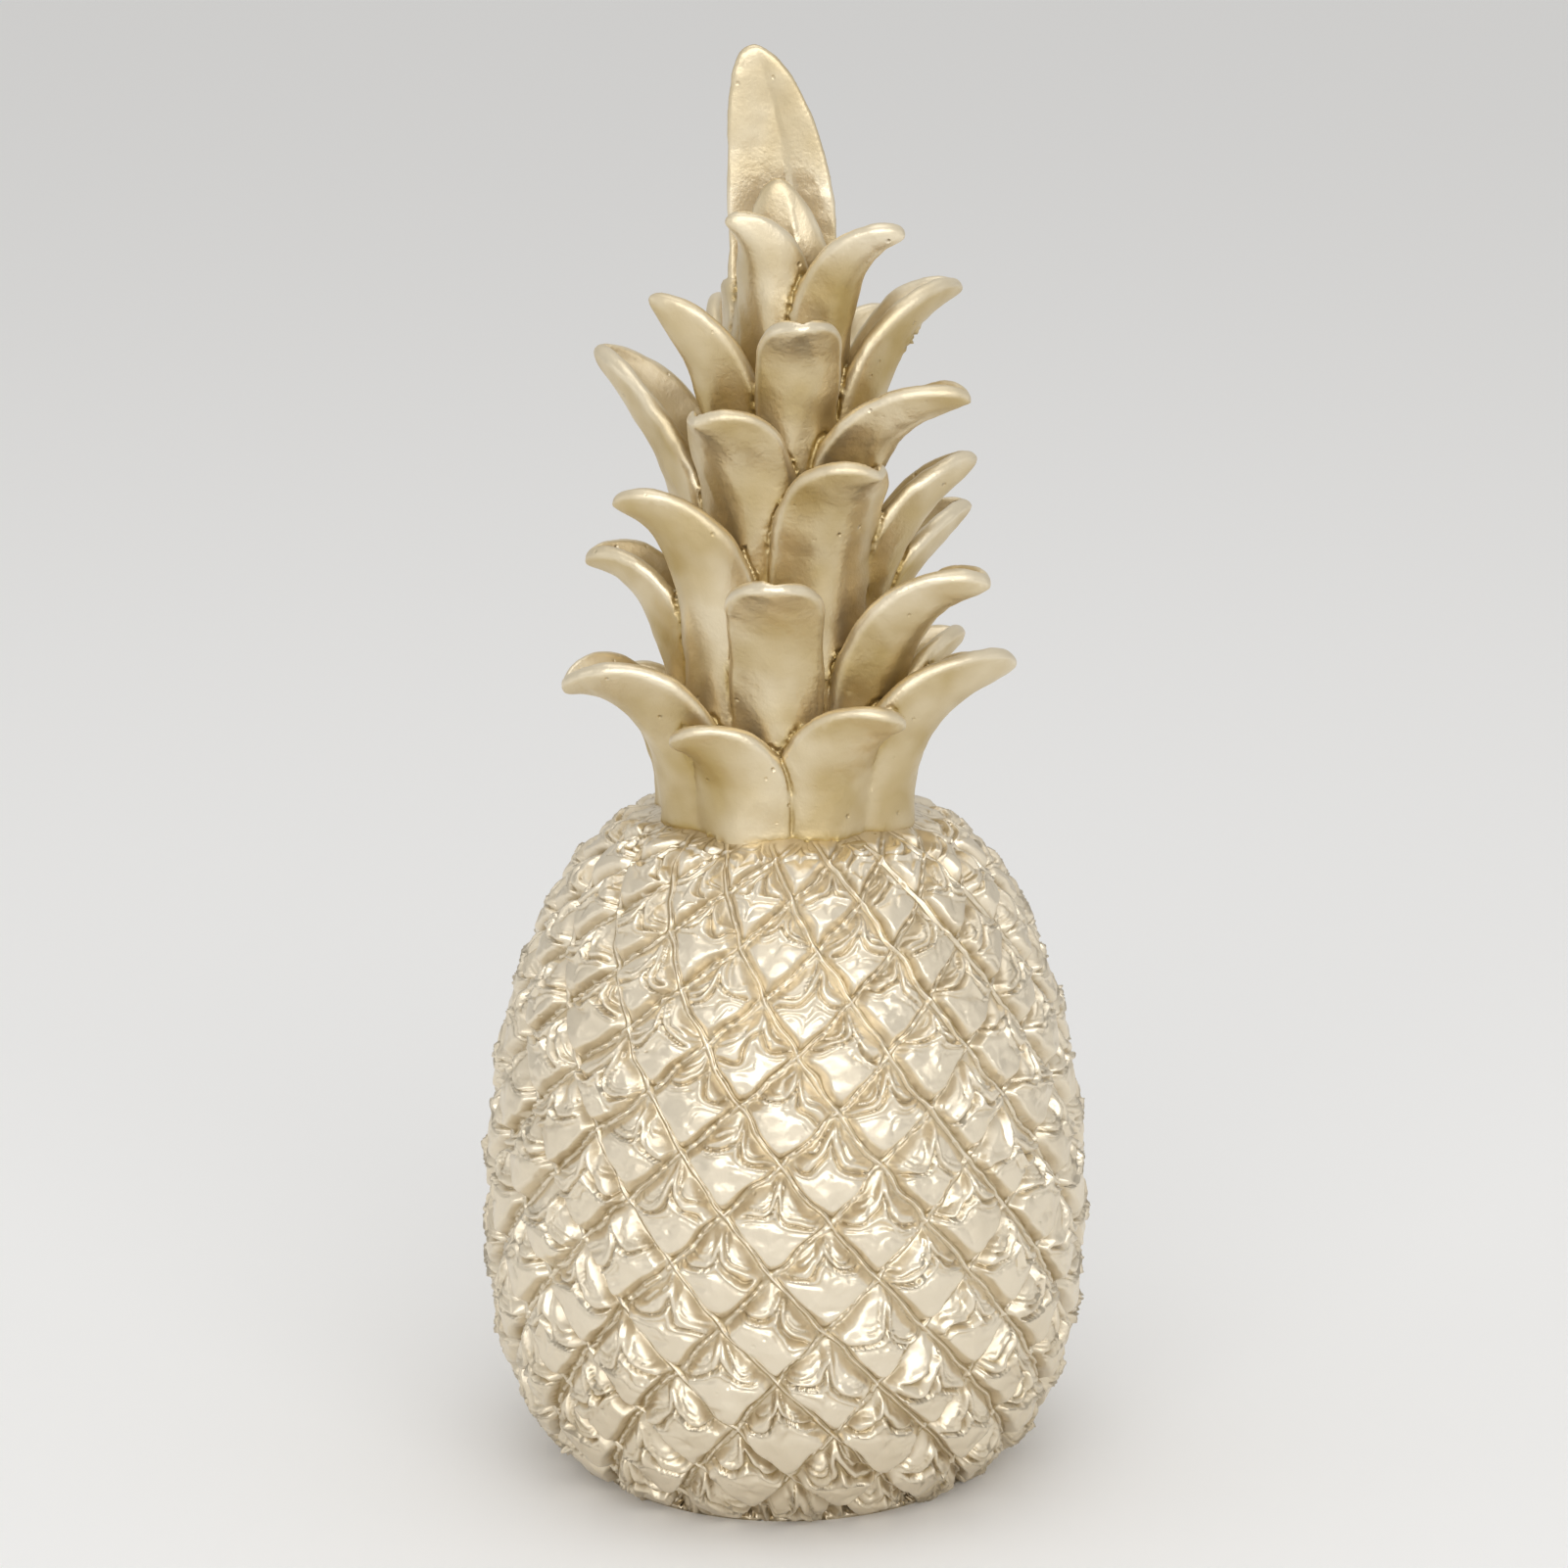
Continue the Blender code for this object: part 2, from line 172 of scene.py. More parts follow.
def raised(arc, angle, rise):
    """Places in millimetres, rise above the envelope along its normal."""
    radius, height = profile_at(arc)
    radius_after, height_after = profile_at(arc + ARC_NUDGE)
    radius_before, height_before = profile_at(arc - ARC_NUDGE)
    along_radius = radius_after - radius_before
    along_height = height_after - height_before
    length = np.hypot(along_radius, along_height) + TINY
    radius = np.maximum(radius - along_height / length * rise, SMALLEST_RADIUS)
    height = height + along_radius / length * rise
    return np.stack([radius * np.sin(angle), -radius * np.cos(angle), height], axis=1)


print("the corner of eye 0, 0 is", round(float(on_net(0.0, 0.0)[0]), 1), "mm down the envelope")

# %% [markdown]
# Each eye gets a fine square grid of its own. The grid lines crowd together near the grooves,
# where the thin cords lie. Neighbouring eyes share the vertices on the groove between them: each
# vertex has a whole-number key that is the same whichever eye it is reached from, also after a
# full turn round the fruit.

# %% A fine grid over every eye
FINENESS = 48
CROWDING = 0.3
FIRST_LEFT, LAST_LEFT = -2 * LEFT_SPIRALS, LEFT_SPIRALS
KEY_STRIDE, KEY_SHIFT = 1000000, 500000


def eye_cells():
    """The eyes of the net that lie on the fruit, as pairs of whole numbers."""
    cells = [(right, left) for left in range(FIRST_LEFT, LAST_LEFT) for right in range(RIGHT_SPIRALS)]
    return np.array([cell for cell in cells if FIRST_ROW <= net_row(*cell) <= LAST_ROW])


def net_grid():
    """Vertices as (eye right, eye left, step right, step left) and faces as rows of four vertices."""
    cells = eye_cells()
    steps = np.arange(FINENESS + 1)
    right = (cells[:, 0, None, None] * FINENESS + steps[None, :, None] + 0 * steps[None, None, :])
    left = (cells[:, 1, None, None] * FINENESS + steps[None, None, :] + 0 * steps[None, :, None])
    turns = right // (RIGHT_SPIRALS * FINENESS)
    right = right - turns * RIGHT_SPIRALS * FINENESS
    left = left + turns * LEFT_SPIRALS * FINENESS
    keys, which = np.unique(right * KEY_STRIDE + left + KEY_SHIFT, return_inverse=True)
    which = which.reshape(right.shape)
    right, left = keys // KEY_STRIDE, keys % KEY_STRIDE - KEY_SHIFT
    eye_right, eye_left = right // FINENESS, left // FINENESS
    vertices = (eye_right, eye_left, right - eye_right * FINENESS, left - eye_left * FINENESS)
    corners = (which[:, :-1, :-1], which[:, :-1, 1:], which[:, 1:, 1:], which[:, 1:, :-1])
    return vertices, np.stack([corner.ravel() for corner in corners], axis=1)


(eye_right, eye_left, step_right, step_left), fruit_quads = net_grid()
print(len(eye_cells()), "eyes,", len(eye_right), "vertices,", len(fruit_quads), "faces")

# %% [markdown]
# No two eyes are alike. Each has its own set of traits, drawn once from a seeded source, that
# later turn, shift, deepen or fade its folds. Traits that differ left and right are drawn twice.

# %% The character of each eye
EYE_SEED = 23
TRAIT_COLUMNS, TRAIT_SHIFT = 6 * LEFT_SPIRALS, 3 * LEFT_SPIRALS
EYE_TRAITS = ("turn", "across", "down", "nose", "start", "full", "dent_across", "dent_down", "dent")
SIDE_TRAITS = ("fall", "lift", "reach", "pocket", "lip", "wrinkle", "phase")


def draw_traits():
    """A number from -1 to 1 for each trait of each eye; side traits have a left and a right."""
    source = np.random.default_rng(EYE_SEED)
    shape = (RIGHT_SPIRALS, TRAIT_COLUMNS)
    traits = {name: source.uniform(-1.0, 1.0, shape) for name in EYE_TRAITS}
    for name in SIDE_TRAITS:
        traits[name] = source.uniform(-1.0, 1.0, (*shape, 2))
    return traits


traits = draw_traits()


def eye_trait(name):
    """The trait at every vertex of the fruit."""
    return traits[name][eye_right, eye_left + TRAIT_SHIFT]


def side_trait(name, right_side):
    """The trait at every vertex, of the side of the eye that the vertex is on."""
    return traits[name][eye_right, eye_left + TRAIT_SHIFT, right_side.astype(int)]


print(len(EYE_TRAITS) + 2 * len(SIDE_TRAITS), "traits for each eye")

# %% [markdown]
# Two views of the same eye help. From its corners, u and v run 0 to 1 along the two spirals. From
# its middle, across runs -1 to 1 from left corner to right and down from top corner to bottom.
# The folds are drawn in the second view, bent a little by noise so that no line is ruled.

# %% Where each vertex lies in its eye
EYES_AROUND = 17.94
BEND = 0.07
SHIFT_ACROSS, SHIFT_DOWN, LARGEST_TURN = 0.11, 0.09, 0.30


def stepped(step):
    """Turns a grid step into a share of the eye, with steps crowded near both ends."""
    share = step / FINENESS
    return share - CROWDING * np.sin(FULL_TURN * share) / FULL_TURN


u, v = stepped(step_right), stepped(step_left)
arc, angle = on_net(eye_right + u, eye_left + v)
smooth_places = raised(arc, angle, np.zeros(len(arc)))
row = net_row(eye_right + u, eye_left + v)
half_across = math.pi * np.hypot(smooth_places[:, 0], smooth_places[:, 1]) / EYES_AROUND
half_down = 0.5 * (1.0 + RIGHT_SPIRALS / LEFT_SPIRALS) * (ROW_ARC + 2 * ROW_ARC_GROWTH * row)
eye_width = 2.0 * half_across * half_down / np.hypot(half_across, half_down)

across = u - v + BEND * unevenness(smooth_places, 7.0, 1) + SHIFT_ACROSS * eye_trait("across")
down = u + v - 1.0 + BEND * unevenness(smooth_places, 6.0, 2) + SHIFT_DOWN * eye_trait("down")
turn = LARGEST_TURN * eye_trait("turn")
turned_across = across * np.cos(turn) - down * np.sin(turn)
down = across * np.sin(turn) + down * np.cos(turn)
across = turned_across
right_side = across > 0.0
aside = np.abs(across)
print("eyes are", round(float(eye_width.min()), 1), "to", round(float(eye_width.max()), 1), "mm wide")

# %% [markdown]
# First the body of the eye: a puffy cushion that swells gently from the upper grooves, stands
# highest below the middle and drops more steeply into the lower grooves, like a shingle. Joining
# the two nearest distances the way this formula does rounds the corners of the diamond.

# %% The cushion of an eye
GROOVE_HALF, INSIDE_FROM = 0.38, 1.25
WANDER = 0.42
ROUND_ABOVE, ROUND_BELOW, ROUND_BETWEEN = 1.8, 1.5, 4.0
NEAREST = 0.01
FOOT_INSET = 0.10
UPPER_WALL, LOWER_WALL, LOWER_WALL_CHANGE = 2.3, 1.35, 0.3
SHOULDER, SHINGLE, SHINGLE_FROM, SHINGLE_SPAN = 1.30, 1.25, -0.6, 1.2
PUFF, PUFF_FROM, PUFF_TO = 0.85, 0.7, 4.8
wander_right = WANDER * unevenness(smooth_places, 6.5, 6)
wander_left = WANDER * unevenness(smooth_places, 6.5, 7)


def rounded_distance(first, second, roundness):
    """Distance in millimetres from the nearer of two grooves, rounded where they meet."""
    first = np.maximum(first, NEAREST)
    second = np.maximum(second, NEAREST)
    return (first**-roundness + second**-roundness) ** (-1.0 / roundness)


upper_left, upper_right = eye_width * u + wander_left, eye_width * v + wander_right
lower_right = eye_width * (1.0 - u) - wander_left
lower_left = eye_width * (1.0 - v) - wander_right
from_above = rounded_distance(upper_left, upper_right, ROUND_ABOVE)
from_below = rounded_distance(lower_right, lower_left, ROUND_BELOW)
from_groove = rounded_distance(from_above, from_below, ROUND_BETWEEN)
inside = ease(GROOVE_HALF, INSIDE_FROM, from_groove)

upper_wall = ease(GROOVE_HALF - FOOT_INSET, UPPER_WALL, from_above)
lower_wall_top = LOWER_WALL + LOWER_WALL_CHANGE * eye_trait("full")
lower_wall = ease(GROOVE_HALF - FOOT_INSET, lower_wall_top, from_below)
shingle = np.clip((down - SHINGLE_FROM) / SHINGLE_SPAN, 0.0, 1.0)
cushion = upper_wall * lower_wall * (SHOULDER + SHINGLE * shingle)
cushion += PUFF * ease(PUFF_FROM, PUFF_TO, from_groove)
print("cushion rises", round(float(cushion.max()), 2), "mm")

# %% [markdown]
# The folds of an eye look like a moustache: from under a short nose two creases fall away to the
# sides and lift at their ends. Above each crease the surface laps over it, below it a thin lip
# stands up, and on many eyes the crease opens into a pocket. All of it follows one curve, so it is
# worked out from the distance above or below that curve.

# %% The line of the creases
CREASE_START, START_CHANGE = -0.42, 0.12
CREASE_FALL, FALL_CHANGE = 0.47, 0.14
CREASE_LIFT, LIFT_CHANGE, LIFT_FROM = 0.25, 0.45, 0.36
CREASE_DECAY = 0.13
CREASE_REACH, REACH_CHANGE, FADE_BEFORE, FADE_AFTER = 0.80, 0.12, 0.14, 0.04
CREASE_WANDER = 0.16


def crease_line():
    """Height of the crease in the eye, and its slope, at each vertex's distance from the middle."""
    start = CREASE_START + START_CHANGE * eye_trait("start")
    fall = CREASE_FALL + FALL_CHANGE * side_trait("fall", right_side)
    lift = CREASE_LIFT + LIFT_CHANGE * side_trait("lift", right_side)
    beyond = np.maximum(0.0, aside - LIFT_FROM)
    line = start + fall * (1.0 - np.exp(-aside / CREASE_DECAY)) - lift * beyond**2
    slope = fall / CREASE_DECAY * np.exp(-aside / CREASE_DECAY) - 2.0 * lift * beyond
    return line, slope


crease, crease_slope = crease_line()
below_crease = (down - crease) * half_down / np.hypot(1.0, crease_slope * half_down / half_across)
below_crease += CREASE_WANDER * unevenness(smooth_places, 4.0, 10)
crease_reach = CREASE_REACH + REACH_CHANGE * side_trait("reach", right_side)
on_crease = inside * (1.0 - ease(crease_reach - FADE_BEFORE, crease_reach + FADE_AFTER, aside))
print("creases run", round(float(crease.min()), 2), "to", round(float(crease.max()), 2), "down the eye")

# %% [markdown]
# Across the crease, the clay was pushed up and down several times: a broad lap above, the crease,
# a lip below and fainter ones beyond. Each is a hill or a furrow at its own distance from the
# crease, with its height, place and width named, so that one can be changed without the others.

# %% Creases, lips and pockets
# height, distance below the crease and width of each fold, in millimetres
LAP = (0.62, -1.15, 0.85)
CREASE = (-1.00, 0.0, 0.24)
LIP = (1.25, 0.52, 0.26)
UNDER_LIP = (-0.36, 1.04, 0.26)
POCKET = (-0.75, -0.35, 0.45)
SECOND_LIP, UNDER_SECOND_LIP = (0.26, 1.52, 0.27), (-0.26, 2.05, 0.25)
UPPER_LIP, UPPER_CREASE = (0.32, -2.30, 0.30), (-0.70, -1.75, 0.26)
POCKET_ASIDE, POCKET_REACH = 0.40, 0.20
UPPER_CREASE_FADE = (0.45, 0.75)


def fold(height, place, width):
    """A long hill or furrow that runs beside the crease."""
    return height * hill(below_crease - place, width)


pocket = np.clip(0.15 + 0.8 * side_trait("pocket", right_side) + 0.05 * row, 0.0, 1.2)
lip = 0.46 + 0.16 * side_trait("lip", right_side) + 0.25 * pocket
second_lip = np.clip(side_trait("wrinkle", right_side), 0.0, 1.0)
upper_crease = np.clip(0.45 + 0.7 * side_trait("phase", right_side), 0.0, 1.0)
upper_crease *= 1.0 - ease(*UPPER_CREASE_FADE, aside)
folds = fold(*LAP) + fold(*CREASE) + lip * fold(*LIP) + fold(*UNDER_LIP)
folds += pocket * fold(*POCKET) * hill(aside - POCKET_ASIDE, POCKET_REACH)
folds += second_lip * (fold(*SECOND_LIP) + fold(*UNDER_SECOND_LIP))
folds += upper_crease * (fold(*UPPER_LIP) + fold(*UPPER_CREASE))
folds *= on_crease
print("folds stand", round(float(folds.max()), 2), "mm up and", round(float(-folds.min()), 2), "mm down")

# %% [markdown]
# The nose is a soft ridge from the top corner that ends abruptly over the creases. Fine wrinkles
# run beside the creases on the laps, and the smooth lower half of many eyes has a shallow dent.
# A little unevenness, rougher in some places than in others, keeps the smooth parts from looking
# machined.

# %% Nose, wrinkles and dents
NOSE_HEIGHT, NOSE_CHANGE, NOSE_WIDTH = 0.62, 0.22, 0.85
BESIDE_NOSE = (0.30, 1.55, 0.40)
WRINKLE_PERIOD, WRINKLE_DEPTH, WRINKLES_ABOVE, WRINKLE_BAND = 1.05, 0.34, 2.1, 1.25
DENT_DEPTH, DENT_WIDTH, DENT_HEIGHT = -0.36, 0.20, 0.07

nose_place = (across + 0.10 * eye_trait("nose") * ease(-0.3, -0.9, down)) * half_across
nose_length = ease(-0.95, -0.62, down) * (1.0 - ease(-0.25, 0.05, down))
nose = (NOSE_HEIGHT + NOSE_CHANGE * eye_trait("nose")) * hill(nose_place, NOSE_WIDTH) * nose_length
furrow_depth, furrow_place, furrow_width = BESIDE_NOSE
furrow = furrow_depth * hill(np.abs(nose_place) - furrow_place, furrow_width)
nose -= furrow * nose_length * ease(-0.9, -0.5, down)
wrinkles = np.sin(FULL_TURN * below_crease / WRINKLE_PERIOD + 1.5 * side_trait("phase", right_side))
wrinkles *= WRINKLE_DEPTH * hill(below_crease + WRINKLES_ABOVE, WRINKLE_BAND) * ease(0.05, 0.15, aside)
wrinkles *= ease(-0.8, 0.3, unevenness(smooth_places, 6.0, 3))
dent_across = across - 0.25 * eye_trait("dent_across")
dent_down = down - 0.45 - 0.12 * eye_trait("dent_down")
dent = DENT_DEPTH * hill(dent_across, DENT_WIDTH) * hill(dent_down, DENT_HEIGHT)
dent *= ease(-0.5, 0.5, eye_trait("dent"))
lumps = 0.16 * unevenness(smooth_places, 5.0, 11) + 0.06 * unevenness(smooth_places, 2.6, 4)
rough = 0.030 + 0.060 * ease(0.3, 1.0, unevenness(smooth_places, 9.0, 12))
detail = inside * (nose + wrinkles + dent + lumps + rough * unevenness(smooth_places, 1.3, 5))
print("nose stands", round(float(nose.max()), 2), "mm")

# %% [markdown]
# A thin cord runs along the bottom of every groove. On the lines that fall to the right it is
# unbroken, on the others it breaks up into beads, and it knots where lines cross.

# %% Cords in the grooves
SMOOTH_CORD, BEADED_CORD, KNOT = (0.66, 0.29), (0.62, 0.30), (0.30, 0.50)


def cord(sizes, distance):
    """A cord or knot of some height and width, by the distance from its middle."""
    height, width = sizes
    return height * hill(distance, width)


def from_line(share, wander):
    """Signed distance in millimetres from the nearest groove line of one family."""
    return eye_width * (share - np.round(share)) + wander


cord_right = from_line(v, wander_right)
cord_left = from_line(u, wander_left)
beading = np.clip(0.60 + 0.80 * unevenness(smooth_places, 1.9, 8), 0.0, 1.35)
swelling = 1.0 + 0.30 * unevenness(smooth_places, 3.0, 9)
cords = cord(SMOOTH_CORD, cord_right) * swelling
cords = np.maximum(cords, cord(BEADED_CORD, cord_left) * beading)
cords += cord(KNOT, np.hypot(cord_right, cord_left)) * beading
print("cords stand", round(float(cords.max()), 2), "mm")

# %% [markdown]
# Now the parts are added up. The relief fades out under the crown, where the fruit is only a
# neck, and the lowest part is pressed flat at the height of the table, with a thin flat rim.

# %% Add up the relief
EYE_HEIGHT = 2.6
EYES_START_ARC, EYES_FULL_ARC = 3.5, 10.5
FULL_SIZE_EYE, SMALLEST_SCALE, LARGEST_SCALE = 12.0, 0.5, 1.05
FOOT_RADIUS, FOOT_HEIGHT = 34.8, 0.9

under_crown = ease(EYES_START_ARC, EYES_FULL_ARC, arc)
eye_scale = np.clip(eye_width / FULL_SIZE_EYE, SMALLEST_SCALE, LARGEST_SCALE)
rise = (cushion + folds + detail) * eye_scale + cords
fruit_places = raised(arc, angle, rise * under_crown - EYE_HEIGHT)


def pressed_flat(places):
    """Keeps every place above the table and gives the foot its thin rim."""
    radius = np.hypot(places[:, 0], places[:, 1])
    in_rim = (np.abs(places[:, 2]) < FOOT_HEIGHT) & (radius < FOOT_RADIUS)
    wider = np.where(in_rim, FOOT_RADIUS / np.maximum(radius, 1.0), 1.0)
    places[:, :2] *= wider[:, None]
    places[:, 2] = np.maximum(places[:, 2], 0.0)
    return places


fruit_places = pressed_flat(fruit_places)
print("fruit reaches", np.round(fruit_places.min(0), 1), "to", np.round(fruit_places.max(0), 1))

# %% [markdown]
# Painted shade: the paint is made more ochre where shade falls: at the feet of the walls, under the
# rounded bottom corner of each eye, in thin dark lines beside the cords and in the creases, and all
# over a little more low down, where the fruit turns under. The cords stay pale.

# %% Painted shade on the fruit
LOW_FROM, LOW_TO, LOW_SHADE_GAIN, LOW_SHADE = 6.0, 46.0, 0.5, 0.22
OUTLINE_RIGHT, OUTLINE_LEFT, OUTLINE_WIDTH = 0.50, 0.52, 0.14

upper_slope = 0.22 * (1.0 - ease(0.4, 1.8, from_above))
lower_foot = 0.70 * (1.0 - ease(0.35, 0.85, from_below))
corner = 1.2 * ease(0.72, 0.90, u + v - 1.0) * (1.0 - ease(0.35, 1.0, from_below))
lower_foot = np.maximum(lower_foot, corner)
beside_right = hill(np.abs(cord_right) - OUTLINE_RIGHT, OUTLINE_WIDTH)
beside_left = 0.8 * hill(np.abs(cord_left) - OUTLINE_LEFT, OUTLINE_WIDTH)
beside_cords = np.maximum(beside_right, beside_left)
in_creases = hill(below_crease, 0.15) + upper_crease * hill(below_crease - UPPER_CREASE[1], 0.14)
in_creases = 0.9 * on_crease * in_creases + 1.2 * np.clip(-wrinkles, 0.0, 0.3)
# painted shade: darker paint at the wall feet, eye corners, cord outlines and creases
painted_shade = np.maximum(upper_slope, lower_foot)
painted_shade = np.maximum(painted_shade, np.maximum(0.95 * beside_cords, 0.9 * in_creases))
painted_shade *= 1.0 - ease(0.10, 0.30, cords)
# painted shade low down, where the fruit turns under
low_down = 1.0 - ease(LOW_FROM, LOW_TO, fruit_places[:, 2])
painted_shade = painted_shade * (1.0 + LOW_SHADE_GAIN * low_down) + LOW_SHADE * low_down
print("shaded paint on", round(100 * float((painted_shade > 0.5).mean())), "per cent of the vertices")

# %% [markdown]
# The mesh is handed to Blender in one go, which is much quicker than vertex by vertex. The painted
# shade of each vertex is kept with it as an attribute, for the paint to use later.

# %% Meshes from arrays
def mesh_from_arrays(name, places_mm, faces, depth):
    """A mesh object from places in millimetres, with depth, the painted shade, kept as the attribute
    painted_shade.
    """
    mesh = bpy.data.meshes.new(name)
    mesh.from_pydata((places_mm * MM).tolist(), [], faces)
    layer = mesh.attributes.new("painted_shade", "FLOAT", "POINT")
    layer.data.foreach_set("value", depth.astype(np.float32))
    mesh.validate()
    thing = bpy.data.objects.new(name, mesh)
    bpy.context.scene.collection.objects.link(thing)
    return thing


def close_rims(thing):
    """Fills the openings left in a mesh."""
    shape = bmesh.new()
    shape.from_mesh(thing.data)
    rim = [edge for edge in shape.edges if edge.is_boundary]
    bmesh.ops.edgeloop_fill(shape, edges=rim)
    bmesh.ops.recalc_face_normals(shape, faces=shape.faces[:])
    shape.to_mesh(thing.data)
    shape.free()
    return len(rim)


fruit = mesh_from_arrays("fruit", fruit_places, fruit_quads.tolist(), painted_shade)
print("closed", close_rims(fruit), "rim edges")

# %% [markdown]
# So fine a mesh is heavier than it needs to be on the smooth parts. The Decimate modifier removes
# vertices where the surface is nearly flat and keeps them in the folds.

# %% Thin out a mesh
PIECE_TRIANGLES = 196000
SECTORS = ("front", "right", "back", "left")
SECTOR_TRIANGLES = 185000


def apply_modifiers(thing):
    """Replaces an object's mesh by what its modifiers make of it."""
    depsgraph = bpy.context.evaluated_depsgraph_get()
    finished = bpy.data.meshes.new_from_object(thing.evaluated_get(depsgraph))
    thing.modifiers.clear()
    thing.data = finished


def thin_out(thing, limit):
    """Brings a mesh under a number of triangles."""
    triangles = sum(len(face.vertices) - 2 for face in thing.data.polygons)
    if triangles > limit:
        thinner = thing.modifiers.new("thinner", "DECIMATE")
        thinner.ratio = limit / triangles
        apply_modifiers(thing)
    thing.data.shade_smooth()
    return triangles, sum(len(face.vertices) - 2 for face in thing.data.polygons)


print("fruit triangles before and after:", thin_out(fruit, SECTOR_TRIANGLES * len(SECTORS)))

# %% [markdown]
# The folds need more triangles than one piece should have, so the skin of the fruit is cut like an
# orange into four pieces. Each keeps the normals of the whole, so that no seam shows in the shading.

# %% Cut the fruit into sectors
def vertex_values(thing, name="painted_shade"):
    """A float attribute of a mesh as an array."""
    values = np.empty(len(thing.data.vertices), np.float32)
    thing.data.attributes[name].data.foreach_get("value", values)
    return values


def cut_into_sectors(thing, names):
    """Replaces an object by one object for each sector round the upright axis."""
    mesh = thing.data
    mesh.calc_loop_triangles()
    count = len(mesh.vertices)
    corners = np.empty(len(mesh.loop_triangles) * 3, np.int32)
    mesh.loop_triangles.foreach_get("vertices", corners)
    corners = corners.reshape(-1, 3)
    places, normals = np.empty(count * 3), np.empty(count * 3)
    mesh.vertices.foreach_get("co", places)
    mesh.vertex_normals.foreach_get("vector", normals)
    # depth here is the painted shade of each vertex, carried into the sectors
    places, normals, depth = places.reshape(-1, 3) / MM, normals.reshape(-1, 3), vertex_values(thing)
    middles = places[corners].mean(axis=1)
    turn = np.arctan2(middles[:, 0], -middles[:, 1]) / FULL_TURN * len(names)
    sector = np.round(turn).astype(int) % len(names)
    pieces = []
    for number, name in enumerate(names):
        used, local = np.unique(corners[sector == number], return_inverse=True)
        triangles = local.reshape(-1, 3).tolist()
        title = f"{thing.name}_{name}"
        piece = mesh_from_arrays(title, places[used], triangles, depth[used])
        piece.data.shade_smooth()
        piece.data.normals_split_custom_set_from_vertices(normals[used].tolist())
        pieces.append(piece)
    bpy.data.objects.remove(thing)
    return pieces


fruit_pieces = cut_into_sectors(fruit, SECTORS)
print("sectors:", {piece.name: len(piece.data.polygons) for piece in fruit_pieces})

# %% [markdown]
# ## The crown
# Each leaf is a thick trough that hugs the stem, then bends out to a rounded tip. The table holds
# the leaves in the order in which they stand, from the bottom of the crown up. They stand as in the
# solid model, but the two in front are a little slimmer, so that the notch between them reads.

# %% The leaves of the crown
# root angle, tip angle, root height, tip height, tip reach, half width, tip rise, depth, taper
LEAVES = (
    (-62, -72, 113, 142.5, 40, 11.0, -14, 0.60, 0.48),
    (-21.2, -43, 112, 135.4, 28.5, 9.1, 12, 0.42, 0.33),
    (22.2, 42, 112, 138.6, 31, 9.7, 10, 0.50, 0.34),
    (63, 80, 113, 146, 39.5, 10.6, 22, 0.60, 0.48),
    (107, 110, 113, 138, 33, 9.6, 10, 0.60, 0.48),
    (152, 152, 113, 142, 37, 9.6, 5, 0.60, 0.48),
    (-164, -164, 113, 141, 37, 9.6, 0, 0.60, 0.48),
    (-112, -114, 113, 137, 35, 9.6, 0, 0.60, 0.48),
    (-96, -94, 122, 162, 35, 8.8, 5, 0.60, 0.48),
    (-44, -62, 120, 175.5, 32.5, 9.4, 18, 0.60, 0.44),
    (-5, -3, 118, 164.0, 32, 8.1, 30, 0.15, 0.74),
    (56, 62, 120, 162, 38.5, 9.4, 12, 0.60, 0.44),
    (104, 114, 118, 146.5, 34, 8.6, 25, 0.60, 0.48),
    (154, 154, 120, 162, 35, 8.9, 12, 0.60, 0.48),
    (-152, -150, 120, 160, 35, 8.9, 8, 0.60, 0.48),
    (-25, -36, 146, 190, 25.5, 9.3, 24, 0.38, 0.68),
    (23, 34, 132, 181.4, 28.5, 9.6, 22, 0.40, 0.66),
    (82, 88, 146, 181, 32, 7.6, 50, 0.60, 0.48),
    (112, 112, 138, 170, 35, 8.2, 45, 0.60, 0.48),
    (-104, -108, 146, 197.5, 34, 10.4, 50, 0.55, 0.48),
    (160, 160, 140, 182, 31, 8.2, 25, 0.60, 0.48),
    (-146, -146, 140, 178, 33, 8.2, 25, 0.60, 0.48),
    (-54, -62, 168, 210, 26, 7.6, 58, 0.60, 0.44),
    (9, 7, 164, 206.2, 24, 7.0, 24, 0.26, 0.70),
    (50, 58, 160, 193.5, 37, 8.4, 12, 0.60, 0.44),
    (88, 98, 168, 209, 30, 8.6, 18, 0.55, 0.44),
    (142, 142, 166, 202, 30, 7.2, 30, 0.60, 0.48),
    (-156, -156, 166, 204, 28, 7.2, 35, 0.60, 0.48),
    (-10, -40, 190, 222.6, 15.5, 6.4, 42, 0.55, 0.30),
    (40, 53, 188, 220.6, 24, 6.4, 22, 0.60, 0.34),
    (-118, -118, 184, 210, 11.7, 5.2, 70, 0.60, 0.48),
    (150, 150, 188, 216, 15, 5.6, 50, 0.60, 0.48),
)
STEM_HEIGHTS = (104, 117, 138, 160, 185, 205, 222, 250)
STEM_RADII = (24.0, 22.5, 18.6, 16.0, 13.8, 11.6, 7.5, 5.0)
print(len(LEAVES), "bent leaves")


def column_radius(height):
    """Radius in millimetres of the outer faces of the leaves where they hug the stem."""
    return np.interp(height, STEM_HEIGHTS, STEM_RADII)


# %% [markdown]
# A leaf is swept: a curved section moves along a spine and changes its width on the way. The
# section is a thick curved strip with round edges, a little thicker at the rims of the bent leaves
# and thinner at those of the upright ones, as the cast leaves catch the light along their rims.

# %% The section of a leaf
SECTION_POINTS = 21
RIM_POINTS = 7
KEEL_POWER = 2.0
THICKER_RIM = 0.25
RIM_POWER = 6


